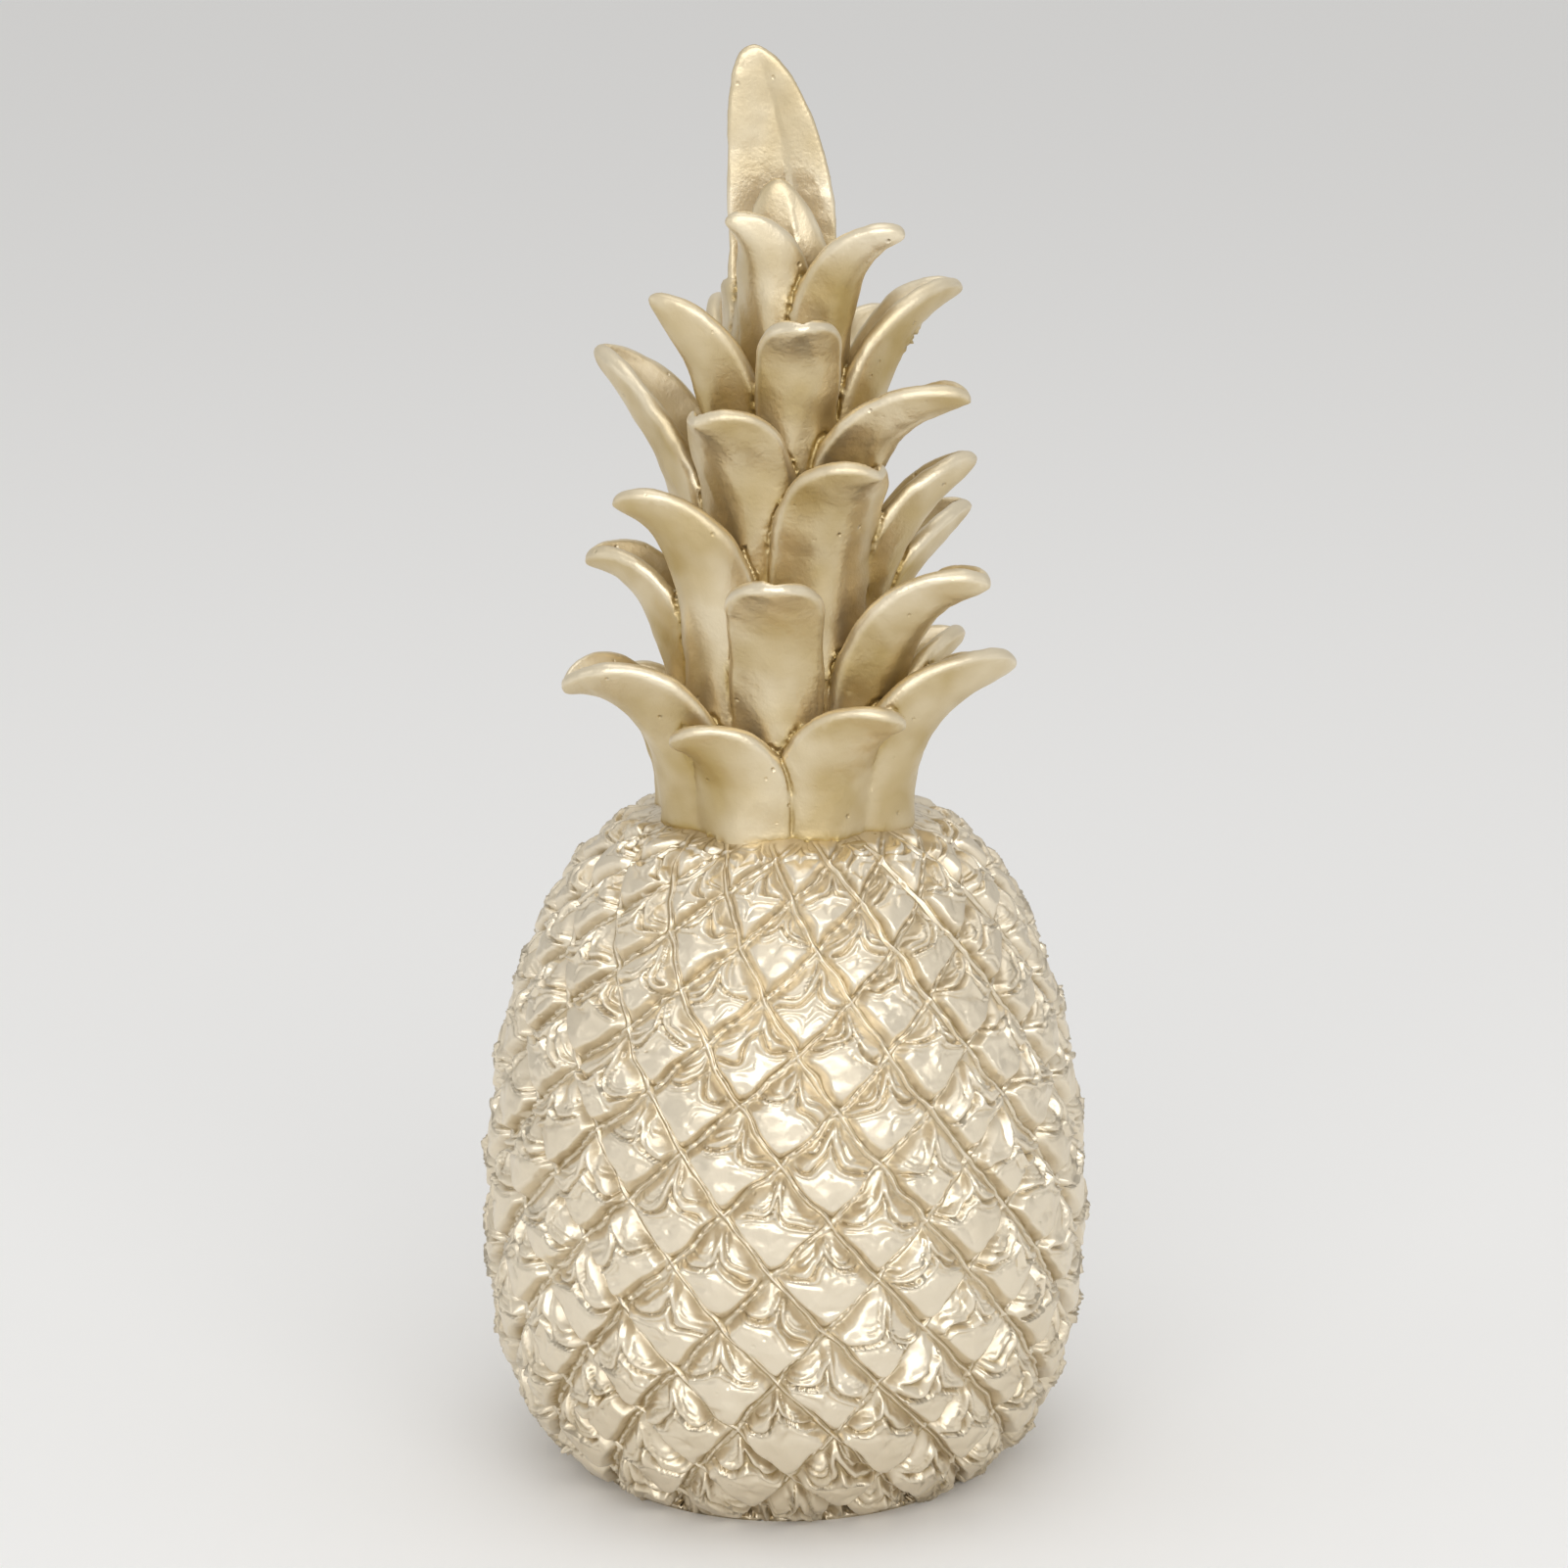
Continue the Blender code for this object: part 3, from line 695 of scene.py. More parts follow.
def section(width, trough, wall, keel=KEEL_POWER, rim=THICKER_RIM):
    """Outline of a leaf's section, as places (sideways, outward) in millimetres, once round."""
    share = np.sin(np.linspace(-0.5 * math.pi, 0.5 * math.pi, SECTION_POINTS))
    middle = np.stack([width * share, -trough * np.abs(share) ** keel], axis=1)
    tangent = np.gradient(middle, axis=0)
    tangent /= np.linalg.norm(tangent, axis=1)[:, None] + TINY
    normal = np.stack([-tangent[:, 1], tangent[:, 0]], axis=1)
    half = 0.5 * wall * (1.0 + rim * np.abs(share) ** RIM_POWER)[:, None]
    outer = middle + normal * half
    inner = middle - normal * half
    sweep = np.linspace(0.5 * math.pi, -0.5 * math.pi, RIM_POINTS + 2)[1:-1, None]
    right_rim = middle[-1] + half[-1] * (np.sin(sweep) * normal[-1] + np.cos(sweep) * tangent[-1])
    left_rim = middle[0] + half[0] * (-np.sin(sweep) * normal[0] - np.cos(sweep) * tangent[0])
    return np.concatenate([outer, right_rim, inner[::-1], left_rim])


print("a leaf's section has", len(section(8.0, 4.0, 2.4)), "points")

# %% [markdown]
# The spine starts inside the stem, rises along it to a knee, then bends out to the tip. A curve
# through four points does this with few numbers. The leaf turns sideways only near its tip.

# %% The spine of a bent leaf
LEAF_STEPS = 48
TURN_POWER = 2.0
LOWEST_ROOTS_UNDER = 115
ROOT_DEPTH, ROOT_DEPTH_ABOVE = 1.6, 4.0
HOOK_SHARE, HOOK_RISE = 0.5, 0.35
KNEE_RADIUS_AT, KNEE_HEIGHT_AT, KNEE_INSET, KNEE_OUT = 0.55, 0.62, 1.0, 0.06


def leaf_path(root_height, tip_height, reach, tip_rise):
    """The four (radius, height) points of the curve that a leaf's spine follows."""
    rise = tip_height - root_height
    sunk = ROOT_DEPTH if root_height < LOWEST_ROOTS_UNDER else ROOT_DEPTH_ABOVE
    root = (column_radius(root_height) - sunk, root_height)
    out = reach - root[0]
    hook = HOOK_SHARE * math.hypot(out, rise * HOOK_RISE)
    lean = math.radians(tip_rise)
    knee_radius = column_radius(root_height + KNEE_RADIUS_AT * rise) - KNEE_INSET + KNEE_OUT * out
    knee = (knee_radius, root_height + KNEE_HEIGHT_AT * rise)
    bend = (reach - hook * math.cos(lean), tip_height - hook * math.sin(lean))
    return np.array((root, knee, bend, (reach, tip_height)))


def spine(path, root_angle, tip_angle, share):
    """Places on the spine of a leaf, and the angles round the stem that they face."""
    rest = 1.0 - share
    weights = np.stack([rest**3, 3 * rest**2 * share, 3 * rest * share**2, share**3], axis=1)
    radius, height = (weights @ path).T
    angle = np.radians(root_angle + (tip_angle - root_angle) * share**TURN_POWER)
    return np.stack([radius * np.sin(angle), -radius * np.cos(angle), height], axis=1), angle


def square_directions(places, angle):
    """Sideways and outward directions, square to the spine, at each place on it."""
    along = np.gradient(places, axis=0)
    along /= np.linalg.norm(along, axis=1)[:, None]
    sideways = np.stack([np.cos(angle), np.sin(angle), 0.0 * angle], axis=1)
    sideways -= along * (along * sideways).sum(axis=1)[:, None]
    sideways /= np.linalg.norm(sideways, axis=1)[:, None]
    return sideways, np.cross(sideways, along)


print("a spine's curve:", np.round(leaf_path(113, 146, 39, 22), 1).tolist())

# %% [markdown]
# The helper below turns a row of sections into a closed skin. The ends are capped by one face
# each, inside the stem at the root and nearly a point at the tip.

# %% Skins from rings
def skin(rings):
    """Vertices and faces of a closed skin over rings of places."""
    count = len(rings[0])
    faces = []
    for ring in range(len(rings) - 1):
        start = ring * count
        for k in range(count):
            after = (k + 1) % count
            faces.append((start + k, start + after, start + count + after, start + count + k))
    last = (len(rings) - 1) * count
    faces.append(tuple(range(count))[::-1])
    faces.append(tuple(last + k for k in range(count)))
    return np.concatenate(rings), faces


print("a skin over two squares has", len(skin([np.zeros((4, 3))] * 2)[1]), "faces")

# %% [markdown]
# Along its length a leaf keeps nearly its full width up to the taper and then rounds off. The steps
# along it crowd towards the tip, where the outline turns fastest, and there the wall thins as well.

# %% Width and wall along a leaf
LEAF_WALL = 2.2
ROOT_WIDTH = 0.86
TAPER_POWER, TAPER_ROOT = 1.9, 0.62
TUCK = 1.9
LAST_SHARE = 0.998
BENT_CROWDING = 1.4
THICKER_ROOT = 0.9
TIP_THINS_FROM, TIP_WALL = 0.9, 0.35
TROUGH_GROWTH = 1.6
NARROWEST = 0.15


def crowded(power):
    """Shares of a leaf's length, closer together towards the tip."""
    return LAST_SHARE * (1.0 - (1.0 - np.linspace(0.0, 1.0, LEAF_STEPS)) ** power)


def leaf_width(share, taper):
    """Half width of a leaf as a share of its widest, along its length."""
    along = np.clip((share - taper) / (1.0 - taper), 0.0, 1.0)
    root = ROOT_WIDTH + (1.0 - ROOT_WIDTH) * np.minimum(share / taper, 1.0)
    return root * (1.0 - along**TAPER_POWER) ** TAPER_ROOT


def tip_wall(part, thins_from):
    """Share of a leaf's wall that is left, round at the tip."""
    beyond = max(0.0, (part - thins_from) / (1.0 - thins_from))
    return TIP_WALL + (1.0 - TIP_WALL) * math.sqrt(1.0 - beyond**2)


print("half way up, a leaf has", round(float(leaf_width(0.5, 0.45)), 2), "of its width")

# %% [markdown]
# Low down, the trough of a leaf only hugs the stem. It deepens to its full depth on the way up, so
# the free part of the leaf is a scoop.

# %% Bent leaves
def bent_leaf(leaf, lift):
    """One leaf of the crown, in millimetres, lifted a little over or under its neighbours."""
    root_angle, tip_angle, root_height, tip_height, reach, half_width, tip_rise, depth, taper = leaf
    share = crowded(BENT_CROWDING)
    path = leaf_path(root_height, tip_height, reach, tip_rise) + np.array((lift, 0.0))
    places, angle = spine(path, root_angle, tip_angle, share)
    sideways, outward = square_directions(places, angle)
    rings = []
    for k, part in enumerate(share):
        width = half_width * leaf_width(part, taper)
        hug = TUCK * width * width / (2 * column_radius(places[k, 2]))
        trough = hug + (depth * width - hug) * min(1.0, part * TROUGH_GROWTH)
        wall = LEAF_WALL * (1.0 + THICKER_ROOT * (1.0 - part) ** 2) * tip_wall(part, TIP_THINS_FROM)
        outline = section(max(width - 0.5 * wall, NARROWEST), trough, wall)
        rings.append(places[k] + outline[:, :1] * sideways[k] + outline[:, 1:] * outward[k])
    return skin(rings)


print("a bent leaf has", len(bent_leaf(LEAVES[0], 0.0)[0]), "vertices")

# %% [markdown]
# Two leaves stand nearly straight on top: a small one in front and the tall one behind it. They are
# folded like a keel along the middle, with a thin rib, and lean over a little towards the tip.

# %% Upright leaves
UPRIGHT_WALL = 1.9
UPRIGHT_RIM = -0.35
UPRIGHT_CROWDING = 1.5
UPRIGHT_THINS_FROM = 0.92
LEAN_POWER = 2.8
BELLY_LEAST, BELLY_TURN = 0.55, 0.8 * math.pi
NARROWS_FROM = 0.2
UPRIGHT_TROUGH, RIB_PLACE, RIB_WIDTH = 0.2, 0.12, 0.5
RIB_FADE = (1.0, 0.85)
# angle, root height, tip height, reach, half width, lean, taper, taper root, rib, keel
INNER_LEAF = (18, 190, 228.5, 4.5, 8.4, 2.3, 2.2, 0.52, 0.5, 2.0)
TOP_LEAF = (180, 196, 249.8, 7.5, 9.5, 5.3, 2.6, 0.5, 0.35, 1.3)


def upright_leaf(leaf):
    """A leaf at the top of the crown, nearly straight, with a rib or a fold down its middle."""
    angle_degrees, root_height, tip_height, reach, half_width, lean, taper, taper_root, rib, keel = leaf
    angle = math.radians(angle_degrees)
    outward = np.array((math.sin(angle), -math.cos(angle), 0.0))
    sideways = np.array((1.0, 0.0, 0.0))
    rings = []
    for part in 1.0 - (1.0 - np.linspace(0.0, LAST_SHARE, LEAF_STEPS)) ** UPRIGHT_CROWDING:
        height = root_height + (tip_height - root_height) * part
        radius = reach * (BELLY_LEAST + (1.0 - BELLY_LEAST) * math.sin(BELLY_TURN * part))
        centre = outward * radius + np.array((0.0, 0.0, height)) - sideways * lean * part**LEAN_POWER
        narrowed = max(0.0, (part - NARROWS_FROM) / (1.0 - NARROWS_FROM)) ** taper
        width = half_width * (1.0 - narrowed) ** taper_root
        wall = UPRIGHT_WALL * tip_wall(part, UPRIGHT_THINS_FROM)
        flat_width = max(width - 0.5 * wall * (1.0 + UPRIGHT_RIM), NARROWEST)
        outline = section(flat_width, UPRIGHT_TROUGH * width, wall, keel, UPRIGHT_RIM)
        from_rib = outline[:, 0] - RIB_PLACE * width
        outline[:, 1] += rib * hill(from_rib, RIB_WIDTH) * ease(*RIB_FADE, part)
        rings.append(centre + outline[:, :1] * sideways + outline[:, 1:] * outward)
    return skin(rings)


print("the top leaf stands", round(float(upright_leaf(TOP_LEAF)[0][:, 2].max()), 1), "mm high")

# %% [markdown]
# Inside the leaves is a tapered stem that ends in a bud, and under them a thin ledge of two soft
# edges, a little ragged, where the crown was set on the fruit. Both are turned from a few stations.

# %% Stem and collar
STEM_FOOT, STEM_TOP = 104.0, 211.0
STEM_STATIONS, UNDER_LEAVES = 24, 2.6
BUD = [(5.0, 215.0), (2.5, 218.0), (0.6, 219.0)]
COLLAR_INNER, COLLAR_REACH = 20.0, 4.1
COLLAR_RAGGED, COLLAR_WAVY = 0.025, 0.5
RING_SIDES = 64


def turned(stations):
    """A turned solid from stations (radius, height) in millimetres."""
    around = np.linspace(0.0, FULL_TURN, RING_SIDES, endpoint=False)
    circle = np.stack([np.sin(around), -np.cos(around), 0.0 * around], axis=1)
    rings = [circle * radius + np.array((0.0, 0.0, height)) for radius, height in stations]
    return skin(rings)


def stem():
    """The tapered stem inside the leaves, closed by a bud."""
    heights = np.linspace(STEM_FOOT, STEM_TOP, STEM_STATIONS)
    return turned([(column_radius(height) - UNDER_LEAVES, height) for height in heights] + BUD)


def collar():
    """The thin uneven double ledge between the fruit and the crown."""
    lower = [(COLLAR_INNER, 114.6), (24.2, 114.9), (24.9, 115.4), (24.3, 115.9), (23.3, 116.2)]
    upper = [(23.9, 116.6), (24.1, 117.0), (23.5, 117.4), (COLLAR_INNER, 117.8)]
    places, faces = turned(lower + upper)
    ledge = (np.hypot(places[:, 0], places[:, 1]) - COLLAR_INNER) / COLLAR_REACH
    places[:, :2] *= (1.0 + COLLAR_RAGGED * ledge * unevenness(places, 9.0, 36))[:, None]
    places[:, 2] += COLLAR_WAVY * ledge * unevenness(places, 12.0, 37)
    return places, faces


print("stem and collar have", len(stem()[0]) + len(collar()[0]), "vertices")

# %% [markdown]
# The real crown is one casting, with soft fillets where leaves meet. All the solids go into one
# mesh, every second leaf lifted a little over the others so that their edges read where they
# overlap, and a voxel remesh melts them into one skin. Two rounds of smoothing then soften it.

# %% Melt the crown together
VOXEL_MM = 0.36
OVERLAP = (-0.35, 0.45)


def crown_solids():
    """Every solid of the crown in one list of vertices and faces."""
    solids = [stem(), collar(), upright_leaf(INNER_LEAF), upright_leaf(TOP_LEAF)]
    solids += [bent_leaf(leaf, OVERLAP[number % 2]) for number, leaf in enumerate(LEAVES)]
    places, faces = [], []
    for vertices, sides in solids:
        start = sum(len(part) for part in places)
        places.append(vertices)
        faces += [tuple(start + k for k in side) for side in sides]
    return np.concatenate(places), faces


crown_places, crown_faces = crown_solids()
crown = mesh_from_arrays("crown", crown_places, crown_faces, np.zeros(len(crown_places)))
orient = bmesh.new()
orient.from_mesh(crown.data)
bmesh.ops.recalc_face_normals(orient, faces=orient.faces[:])
orient.to_mesh(crown.data)
orient.free()
melt = crown.modifiers.new("melt", "REMESH")
melt.mode = "VOXEL"
melt.voxel_size = VOXEL_MM * MM
soften = crown.modifiers.new("soften", "SMOOTH")
soften.factor, soften.iterations = 0.5, 2
apply_modifiers(crown)
print("crown has", len(crown.data.vertices), "vertices")

# %% [markdown]
# Where leaves meet, the casting has small beads and crumbs along the crease. The creases are found
# by measuring how far each vertex lies below the average of its neighbours, and that measure is
# spread a little so that it covers a band along each crease.

# %% Read and blur a mesh
def mesh_arrays(thing):
    """Places in millimetres, normals and edges of a mesh as arrays."""
    mesh = thing.data
    places = np.empty(len(mesh.vertices) * 3)
    mesh.vertices.foreach_get("co", places)
    normals = np.empty(len(mesh.vertices) * 3)
    mesh.vertex_normals.foreach_get("vector", normals)
    edges = np.empty(len(mesh.edges) * 2, int)
    mesh.edges.foreach_get("vertices", edges)
    return places.reshape(-1, 3) / MM, normals.reshape(-1, 3), edges.reshape(-1, 2)


def neighbour_average(values, edges):
    """The average of each vertex's neighbours."""
    count = np.bincount(edges.ravel(), minlength=len(values))
    total = np.bincount(edges[:, 0], values[edges[:, 1]], len(values))
    total += np.bincount(edges[:, 1], values[edges[:, 0]], len(values))
    return total / np.maximum(count, 1)


def spread(values, edges, rounds):
    """Blurs values over a mesh."""
    for _ in range(rounds):
        values = 0.5 * values + 0.5 * neighbour_average(values, edges)
    return values


places, normals, edges = mesh_arrays(crown)
print("the crown has", len(edges), "edges")

# %% [markdown]
# A vertex that lies below the average of its neighbours lies in a dip. The top leaf is left out,
# because its fold would count as a crease.

# %% Find the creases of the crown
CREASED = (0.02, 0.09)
BEADS_END = (214.0, 222.0)


def widened(values, rounds, gain):
    """Spreads a mask over the crown and strengthens it again."""
    return np.clip(spread(values, edges, rounds) * gain, 0.0, 1.0)


average = np.stack([neighbour_average(places[:, k], edges) for k in range(3)], axis=1)
sunken = ((average - places) * normals).sum(axis=1) / VOXEL_MM
below_top = 1.0 - ease(*BEADS_END, places[:, 2])
creased = ease(*CREASED, sunken) * below_top
crease_core = widened(creased, 1, 1.3)
in_crease = widened(creased, 3, 1.6)
near_crease = widened(in_crease, 14, 2.0)
print("creases take", round(100 * float((in_crease > 0.5).mean()), 1), "per cent of the crown")

# %% [markdown]
# Small beads sit in the creases in places, with crumbs of resin beside them, and the surface of the
# leaves is softly uneven. One leaf on the right has a rough nick on its underside.

# %% Beads and crumbs in the creases
BEAD_HEIGHT, CRUMB_HEIGHT = 0.95, 0.10
BANK_HEIGHT, CREASE_DEPTH = 0.25, 0.36
NICK_PLACE, NICK_SIZE, NICK_DEPTH = (22.4, 1.0, 200.0), 2.4, 0.30

patchy = ease(-0.4, 0.6, unevenness(places, 15.0, 35))
beads = np.clip(unevenness(places, 1.9, 31) - 0.25, 0.0, 1.0) * patchy
crumbs = unevenness(places, 1.1, 32)
uneven = 0.20 * unevenness(places, 9.0, 33) + 0.06 * unevenness(places, 3.2, 34)
lifted = BEAD_HEIGHT * beads * in_crease + CRUMB_HEIGHT * crumbs * near_crease * patchy + uneven
lifted += BANK_HEIGHT * np.clip(near_crease - in_crease, 0.0, 1.0)
lifted -= CREASE_DEPTH * crease_core * (1.0 - beads)
nick = hill(np.linalg.norm(places - np.array(NICK_PLACE), axis=1), NICK_SIZE)
lifted += nick * (crumbs - NICK_DEPTH)
places += normals * lifted[:, None]
crown.data.vertices.foreach_set("co", (places * MM).ravel())
print("beads and crumbs stand up to", round(float(lifted.max()), 2), "mm")

# %% [markdown]
# Painted shade on the crown: the paint turns more ochre where shade falls, near the stem, around the
# creases and under the leaves, and the tall top leaf is a little deeper in tone than the others.

# %% Painted shade on the crown
off_column = np.hypot(places[:, 0], places[:, 1]) - column_radius(places[:, 2])
# painted shade near the stem and under the leaves
shade_near_stem = (1.0 - ease(-1.0, 15.0, off_column)) * (1.0 - ease(212.0, 226.0, places[:, 2]))
shade_underneath = ease(-0.10, 0.45, -normals[:, 2]) * below_top
on_top_leaf = ease(222.0, 230.0, places[:, 2])
# painted shade, plus the top leaf's own deeper tone, stored in the same attribute as the fruit's painted
# shade
crown_shade_and_tone = 0.40 * shade_near_stem + 0.5 * near_crease + 0.55 * shade_underneath + 0.45 * on_top_leaf
crown_shade_and_tone = np.clip(crown_shade_and_tone, 0.0, 1.0)
layer = crown.data.attributes.new("painted_shade", "FLOAT", "POINT")
layer.data.foreach_set("value", crown_shade_and_tone.astype(np.float32))
crown.data.update()
print("crown triangles before and after:", thin_out(crown, PIECE_TRIANGLES))

# %% [markdown]
# ## The paint
# Both parts wear the same champagne gold spray paint. Effects that both use are node groups with
# their own inputs, so that the fruit and the crown can take different amounts of each.

# %% Node helpers
def new_group(name, inputs, outputs):
    """A shader node group with float inputs and outputs, and its two end nodes."""
    group = bpy.data.node_groups.new(name, "ShaderNodeTree")
    for title, kind, value in inputs:
        socket = group.interface.new_socket(title, in_out="INPUT", socket_type=kind)
        socket.default_value = value
    for title, kind in outputs:
        group.interface.new_socket(title, in_out="OUTPUT", socket_type=kind)
    return group, group.nodes.new("NodeGroupInput"), group.nodes.new("NodeGroupOutput")


def noise(tree, coordinates, scale, detail=2.0):
    """A noise texture read at some coordinates."""
    node = tree.nodes.new("ShaderNodeTexNoise")
    node.inputs["Detail"].default_value = detail
    tree.links.new(coordinates, node.inputs["Vector"])
    if isinstance(scale, (int, float)):
        node.inputs["Scale"].default_value = scale
    else:
        tree.links.new(scale, node.inputs["Scale"])
    return node.outputs["Fac"]


print("a group can be made with new_group, and noise added with noise")

# %% [markdown]
# Two more helpers do sums on values and stretch one range to another. Both take sockets as well as
# plain numbers, so a constant needs no node of its own.

# %% Sums and ranges in nodes
def calculate(tree, operation, first, second=None):
    """A Math node on sockets or plain numbers."""
    node = tree.nodes.new("ShaderNodeMath")
    node.operation = operation
    for socket, value in zip(node.inputs, (first, second)):
        if value is None:
            continue
        if isinstance(value, (int, float)):
            socket.default_value = value
        else:
            tree.links.new(value, socket)
    return node.outputs[0]


RANGE_ENDS = ("From Min", "From Max", "To Min", "To Max")


def remap(tree, value, low, high, new_low, new_high):
    """Stretches a range of values to another, held at both ends."""
    node = tree.nodes.new("ShaderNodeMapRange")
    tree.links.new(value, node.inputs["Value"])
    for name, number in zip(RANGE_ENDS, (low, high, new_low, new_high)):
        if isinstance(number, (int, float)):
            node.inputs[name].default_value = number
        else:
            tree.links.new(number, node.inputs[name])
    return node.outputs["Result"]


print("ranges are set by", RANGE_ENDS)

# %% [markdown]
# The group mixes a pale and an ochre colour. The mix follows each vertex's painted shade, ochre where
# shade falls in the folds and creases, and a broad patchy drift that is partly uneven spray and partly
# painted reflection. The group also gives the roughness that goes with them.

# %% Node group: coat and painted shade
def coat_and_shade():
    group, start, end = new_group(
        "Coat_And_Painted_Shade",
        (
            ("Pale", "NodeSocketColor", (0.8, 0.7, 0.5, 1.0)),
            ("Ochre Colour", "NodeSocketColor", (0.5, 0.4, 0.2, 1.0)),
            ("Painted Shade", "NodeSocketFloat", 0.0),
            ("Depth", "NodeSocketFloat", 0.6),
            ("Drift", "NodeSocketFloat", 0.2),
            ("Roughness", "NodeSocketFloat", 0.35),
            ("Roughness Drift", "NodeSocketFloat", 0.08),
        ),
        (("Colour", "NodeSocketColor"), ("Roughness", "NodeSocketFloat")),
    )
    place = group.nodes.new("ShaderNodeTexCoord").outputs["Object"]
    # broad patches of tone, partly uneven spray and partly painted reflection
    broad = remap(group, noise(group, place, 80.0, 2.0), 0.32, 0.68, 0.0, 1.0)
    fine = noise(group, place, 420.0, 2.0)
    centred = calculate(group, "SUBTRACT", broad, 0.5)
    drift = calculate(group, "MULTIPLY", centred, start.outputs["Drift"])
    # painted shade: the shade mask, times its strength, pulls the colour towards ochre
    depth = calculate(group, "MULTIPLY", start.outputs["Painted Shade"], start.outputs["Depth"])
    share = calculate(group, "ADD", depth, drift)
    mix = group.nodes.new("ShaderNodeMix")
    mix.data_type = "RGBA"
    mix.clamp_factor = True
    group.links.new(share, mix.inputs["Factor"])
    group.links.new(start.outputs["Pale"], mix.inputs["A"])
    group.links.new(start.outputs["Ochre Colour"], mix.inputs["B"])
    group.links.new(mix.outputs["Result"], end.inputs["Colour"])
    grain = calculate(group, "SUBTRACT", calculate(group, "ADD", broad, fine), 1.0)
    drifted = calculate(group, "MULTIPLY", grain, start.outputs["Roughness Drift"])
    roughness = calculate(group, "ADD", drifted, start.outputs["Roughness"])
    group.links.new(roughness, end.inputs["Roughness"])
    return group


COAT_AND_SHADE = coat_and_shade()
print(COAT_AND_SHADE.name, "has", len(COAT_AND_SHADE.nodes), "nodes")

# %% [markdown]
# Close up, the paint has a fine orange peel, the resin has pinholes from air bubbles, and the skin
# is rougher in patches where the painted shade is strong. The group adds them up as a height for a
# Bump node.

# %% Node group: cast skin
def cast_skin():
    group, start, end = new_group(
        "Cast_Skin",
        (
            ("Peel", "NodeSocketFloat", 0.3),
            ("Pinholes", "NodeSocketFloat", 1.0),
            ("Rough Patches", "NodeSocketFloat", 0.5),
            ("Near Crease", "NodeSocketFloat", 0.0),
        ),
        (("Height", "NodeSocketFloat"),),
    )
    place = group.nodes.new("ShaderNodeTexCoord").outputs["Object"]
    peel = calculate(group, "MULTIPLY", noise(group, place, 1500.0, 2.0), start.outputs["Peel"])
    cells = group.nodes.new("ShaderNodeTexVoronoi")
    cells.inputs["Scale"].default_value = 330.0
    group.links.new(place, cells.inputs["Vector"])
    hole = remap(group, cells.outputs["Distance"], 0.05, 0.16, 1.0, 0.0)
    chosen = remap(group, noise(group, place, 120.0, 0.0), 0.60, 0.66, 0.0, 1.0)
    holes = calculate(group, "MULTIPLY", hole, chosen)
    holes = calculate(group, "MULTIPLY", holes, start.outputs["Pinholes"])
    patches = noise(group, place, 700.0, 3.0)
    patches = calculate(group, "MULTIPLY", patches, start.outputs["Rough Patches"])
    patches = calculate(group, "MULTIPLY", patches, start.outputs["Near Crease"])
    height = calculate(group, "SUBTRACT", calculate(group, "ADD", peel, patches), holes)
    group.links.new(height, end.inputs["Height"])
    return group


CAST_SKIN = cast_skin()
print(CAST_SKIN.name, "has", len(CAST_SKIN.nodes), "nodes")


# %% [markdown]
# The material itself is a Principled BSDF: metallic, with a soft satin highlight. The fruit is
# paler and a little glossier than the crown.

# %% Champagne gold paint
METALLIC = 0.88
BUMP_DEPTH = 0.00025


def gold_paint(name, coat_values, skin_values, bump_strength):
    """A paint made from the two groups, each with this part's own values."""
    material = bpy.data.materials.new(name)
    material.use_nodes = True
    tree = material.node_tree
    shader = tree.nodes["Principled BSDF"]
    shader.inputs["Metallic"].default_value = METALLIC
    shader.inputs["Specular IOR Level"].default_value = 0.5
    # this attribute holds each vertex's painted shade
    shade_reader = tree.nodes.new("ShaderNodeAttribute")
    shade_reader.attribute_name = "painted_shade"
    coat = tree.nodes.new("ShaderNodeGroup")
    coat.node_tree = COAT_AND_SHADE
    surface = tree.nodes.new("ShaderNodeGroup")
    surface.node_tree = CAST_SKIN
    for node, values in ((coat, coat_values), (surface, skin_values)):
        for title, value in values.items():
            node.inputs[title].default_value = value
    tree.links.new(shade_reader.outputs["Fac"], coat.inputs["Painted Shade"])
    tree.links.new(shade_reader.outputs["Fac"], surface.inputs["Near Crease"])
    tree.links.new(coat.outputs["Colour"], shader.inputs["Base Color"])
    tree.links.new(coat.outputs["Roughness"], shader.inputs["Roughness"])
    bump = tree.nodes.new("ShaderNodeBump")
    bump.inputs["Strength"].default_value = bump_strength
    bump.inputs["Distance"].default_value = BUMP_DEPTH
    tree.links.new(surface.outputs["Height"], bump.inputs["Height"])
    tree.links.new(bump.outputs["Normal"], shader.inputs["Normal"])
    return material


print("the paint is a Principled BSDF with metallic", METALLIC)

# %% [markdown]
# The same paint is mixed twice: for the fruit pale, with ochre painted shade in its folds and a
# smooth skin, and for the crown more ochre and patchy, the patches partly painted reflection, with
# more pinholes and a rougher skin near the creases.

# %% Paint the fruit and the crown
fruit_paint = gold_paint(
    "gold_paint_fruit",
    {
        "Pale": (0.85, 0.76, 0.60, 1.0),
        "Ochre Colour": (0.44, 0.34, 0.19, 1.0),
        "Depth": 1.15,
        "Drift": 0.20,
        "Roughness": 0.35,
        "Roughness Drift": 0.10,
    },
    {"Peel": 0.20, "Pinholes": 0.8, "Rough Patches": 0.2},
    0.5,
)
crown_paint = gold_paint(
    "gold_paint_crown",
    {
        "Pale": (0.85, 0.75, 0.56, 1.0),
        "Ochre Colour": (0.50, 0.37, 0.15, 1.0),
        "Depth": 1.0,
        "Drift": 0.55,
        "Roughness": 0.41,
        "Roughness Drift": 0.12,
    },
    {"Peel": 0.28, "Pinholes": 1.0, "Rough Patches": 0.6},
    0.8,
)

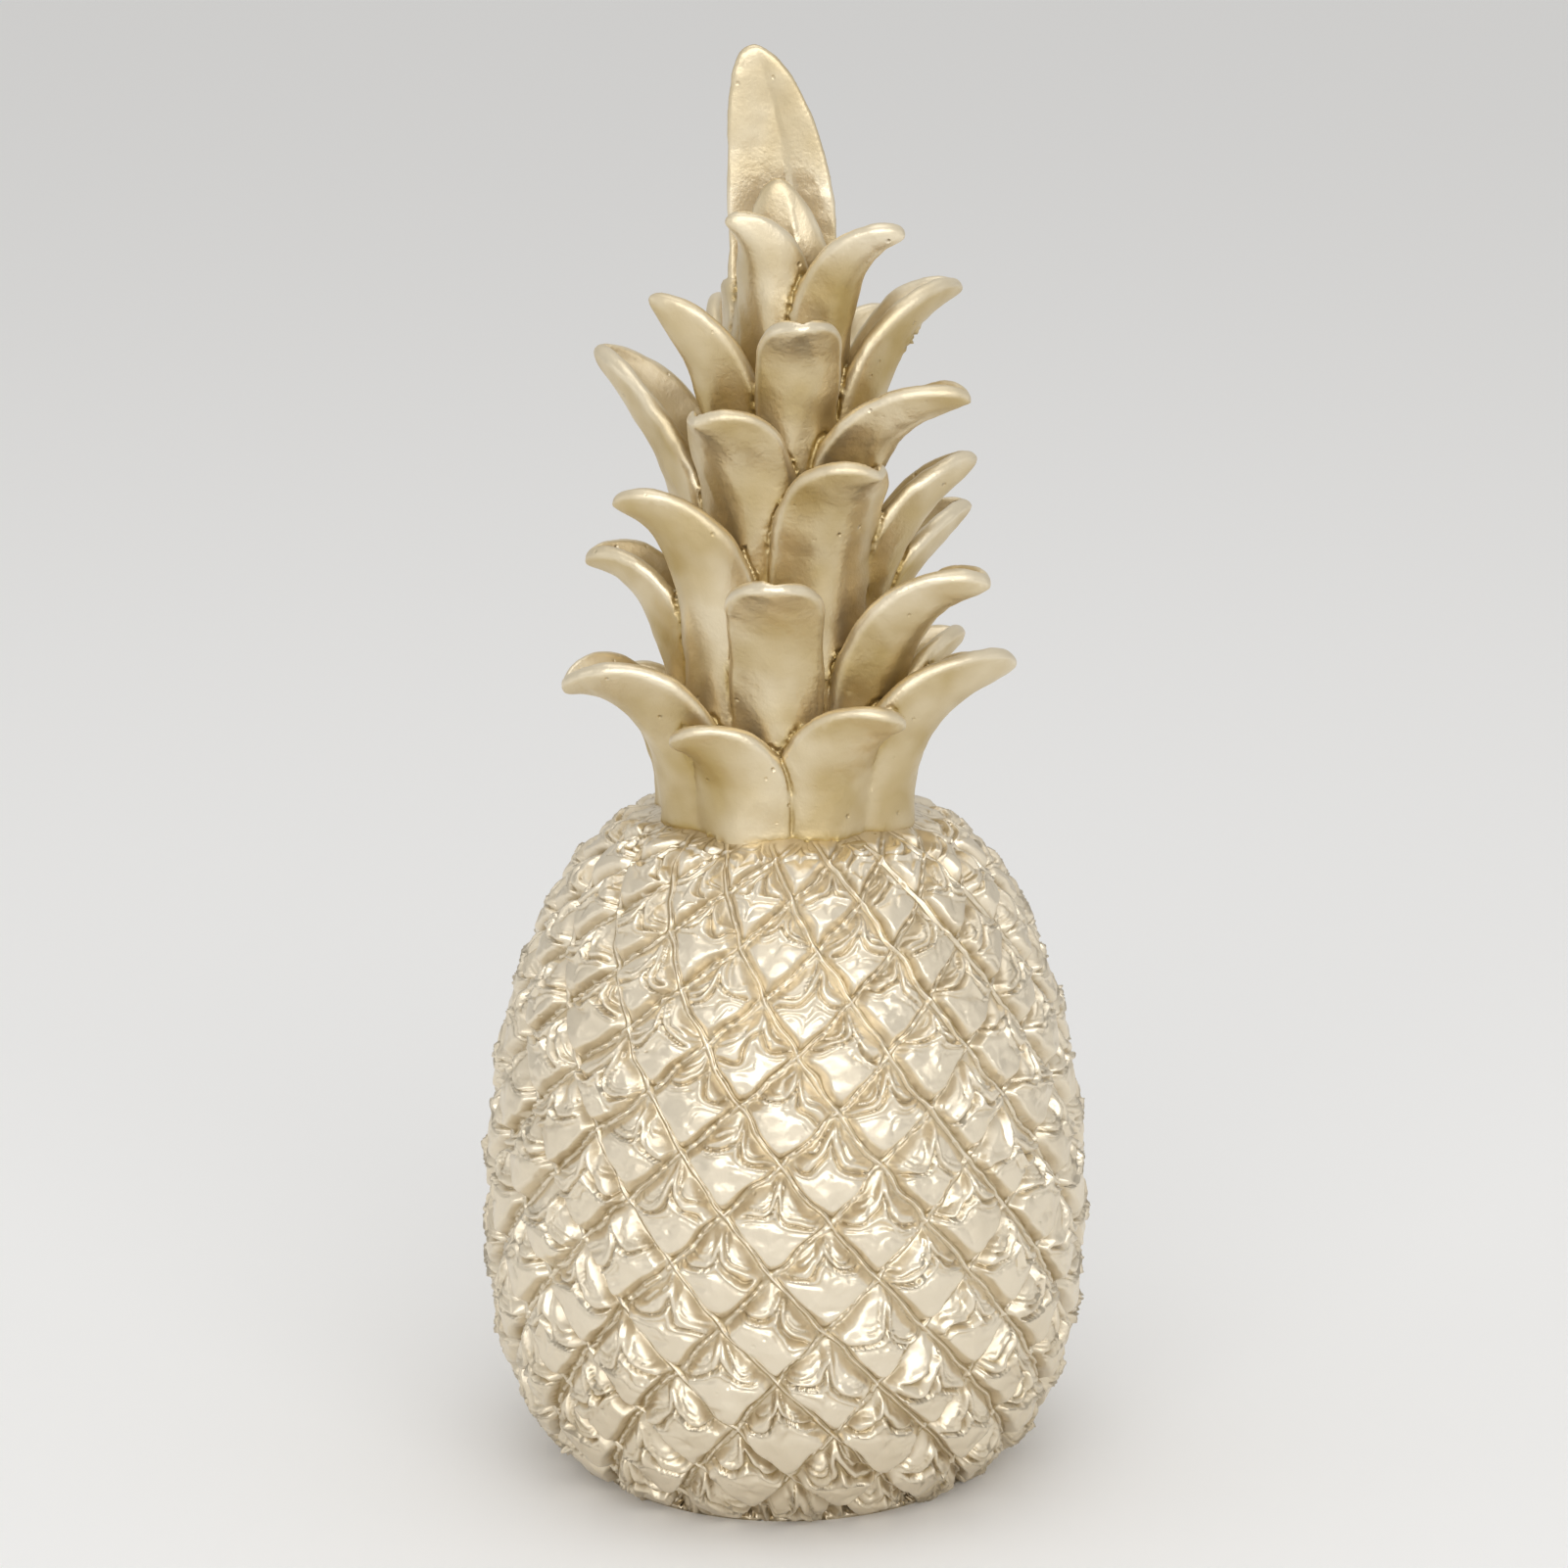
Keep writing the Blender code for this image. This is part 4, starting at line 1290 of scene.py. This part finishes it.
for piece, paint in [(piece, fruit_paint) for piece in fruit_pieces] + [(crown, crown_paint)]:
    piece.data.materials.clear()
    piece.data.materials.append(paint)
    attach(piece, "root")
    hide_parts("pineapple")
print("painted", len(fruit_pieces), "pieces of the fruit, and the crown")

# %% [markdown]
# ## The studio
# The photograph was taken on white, from a little above, with broad soft light. A pale floor, one
# wide softbox in front with weaker lights above and at the sides, and a pale world that is a little
# brighter overhead give the same soft highlights. The metal mirrors all of them, so their sizes
# matter as much as their powers.

# %% Floor
FLOOR_CORNERS = [(-6, -3, 0), (6, -3, 0), (6, 9, 0), (-6, 9, 0)]

floor_mesh = bpy.data.meshes.new("floor")
floor_mesh.from_pydata(FLOOR_CORNERS, [], [(0, 1, 2, 3)])
floor = bpy.data.objects.new("floor", floor_mesh)
bpy.context.scene.collection.objects.link(floor)
floor_paint = bpy.data.materials.new("pale_floor")
floor_paint.use_nodes = True
floor_shader = floor_paint.node_tree.nodes["Principled BSDF"]
floor_shader.inputs["Base Color"].default_value = (0.94, 0.94, 0.94, 1.0)
floor_shader.inputs["Roughness"].default_value = 0.9
floor_mesh.materials.append(floor_paint)
print("the floor is", FLOOR_CORNERS[2][0] - FLOOR_CORNERS[0][0], "m wide")

# %% [markdown]
# Each light is a rectangle that faces the middle of the ornament, so moving one never turns it away.

# %% Lights
TARGET = Vector((0.0, 0.0, 0.12))


def soft_light(name, place, width, height, power):
    """A rectangular area light that faces the ornament."""
    lamp = bpy.data.lights.new(name, "AREA")
    lamp.shape = "RECTANGLE"
    lamp.size, lamp.size_y = width, height
    lamp.energy = power
    thing = bpy.data.objects.new(name, lamp)
    thing.location = place
    thing.rotation_euler = (TARGET - Vector(place)).to_track_quat("-Z", "Y").to_euler()
    bpy.context.scene.collection.objects.link(thing)
    return thing


soft_light("front light", (0.1, -1.5, 0.80), 2.2, 1.0, 13.2)
soft_light("top light", (0.0, -0.1, 1.4), 0.8, 0.8, 1.8)
soft_light("left light", (-1.4, -0.3, 0.5), 0.6, 0.6, 0.8)
soft_light("right light", (1.4, -0.2, 0.5), 0.6, 0.6, 0.5)
print(len(bpy.data.lights), "lights")

# %% [markdown]
# What the lights leave dark, the world fills: the silhouettes mirror its horizon, and the tops of
# the leaves its brighter zenith.

# %% World
HORIZON, OVERHEAD = 0.52, 0.68
OVERHEAD_FROM = 0.8

world = bpy.data.worlds.new("studio")
world.use_nodes = True
sky = world.node_tree
sky.nodes["Background"].inputs["Color"].default_value = (1.0, 0.99, 0.97, 1.0)
direction = sky.nodes.new("ShaderNodeTexCoord").outputs["Generated"]
upward = sky.nodes.new("ShaderNodeSeparateXYZ")
sky.links.new(direction, upward.inputs["Vector"])
brightness = remap(sky, upward.outputs["Z"], 0.0, OVERHEAD_FROM, HORIZON, OVERHEAD)
sky.links.new(brightness, sky.nodes["Background"].inputs["Strength"])
bpy.context.scene.world = world
bpy.context.scene.view_settings.view_transform = "Standard"
print("world strength", HORIZON, "at the horizon and", OVERHEAD, "overhead")

# %% [markdown]
# The camera stands 0.8 m away and looks down by 14 degrees. Its lens is worked out from how large
# the ornament is in the photograph, whose frame is square.

# %% Camera
CAMERA_PLACE = Vector((0.0, -0.800, 0.3245))
CAMERA_TARGET = Vector((0.0, 0.0, 0.1228))
FOCAL_PIXELS = 4847.2
PHOTO_PIXELS = 1601.0
SENSOR_MM = 36.0
SIDE_SHIFT_PIXELS = -1.5

lens = bpy.data.cameras.new("camera")
lens.sensor_width = SENSOR_MM
lens.lens = FOCAL_PIXELS / PHOTO_PIXELS * SENSOR_MM
lens.shift_x = SIDE_SHIFT_PIXELS / PHOTO_PIXELS
camera = bpy.data.objects.new("camera", lens)
camera.location = CAMERA_PLACE
camera.rotation_euler = (CAMERA_TARGET - CAMERA_PLACE).to_track_quat("-Z", "Y").to_euler()
bpy.context.scene.collection.objects.link(camera)
bpy.context.scene.camera = camera
print("lens", round(lens.lens, 1), "mm")
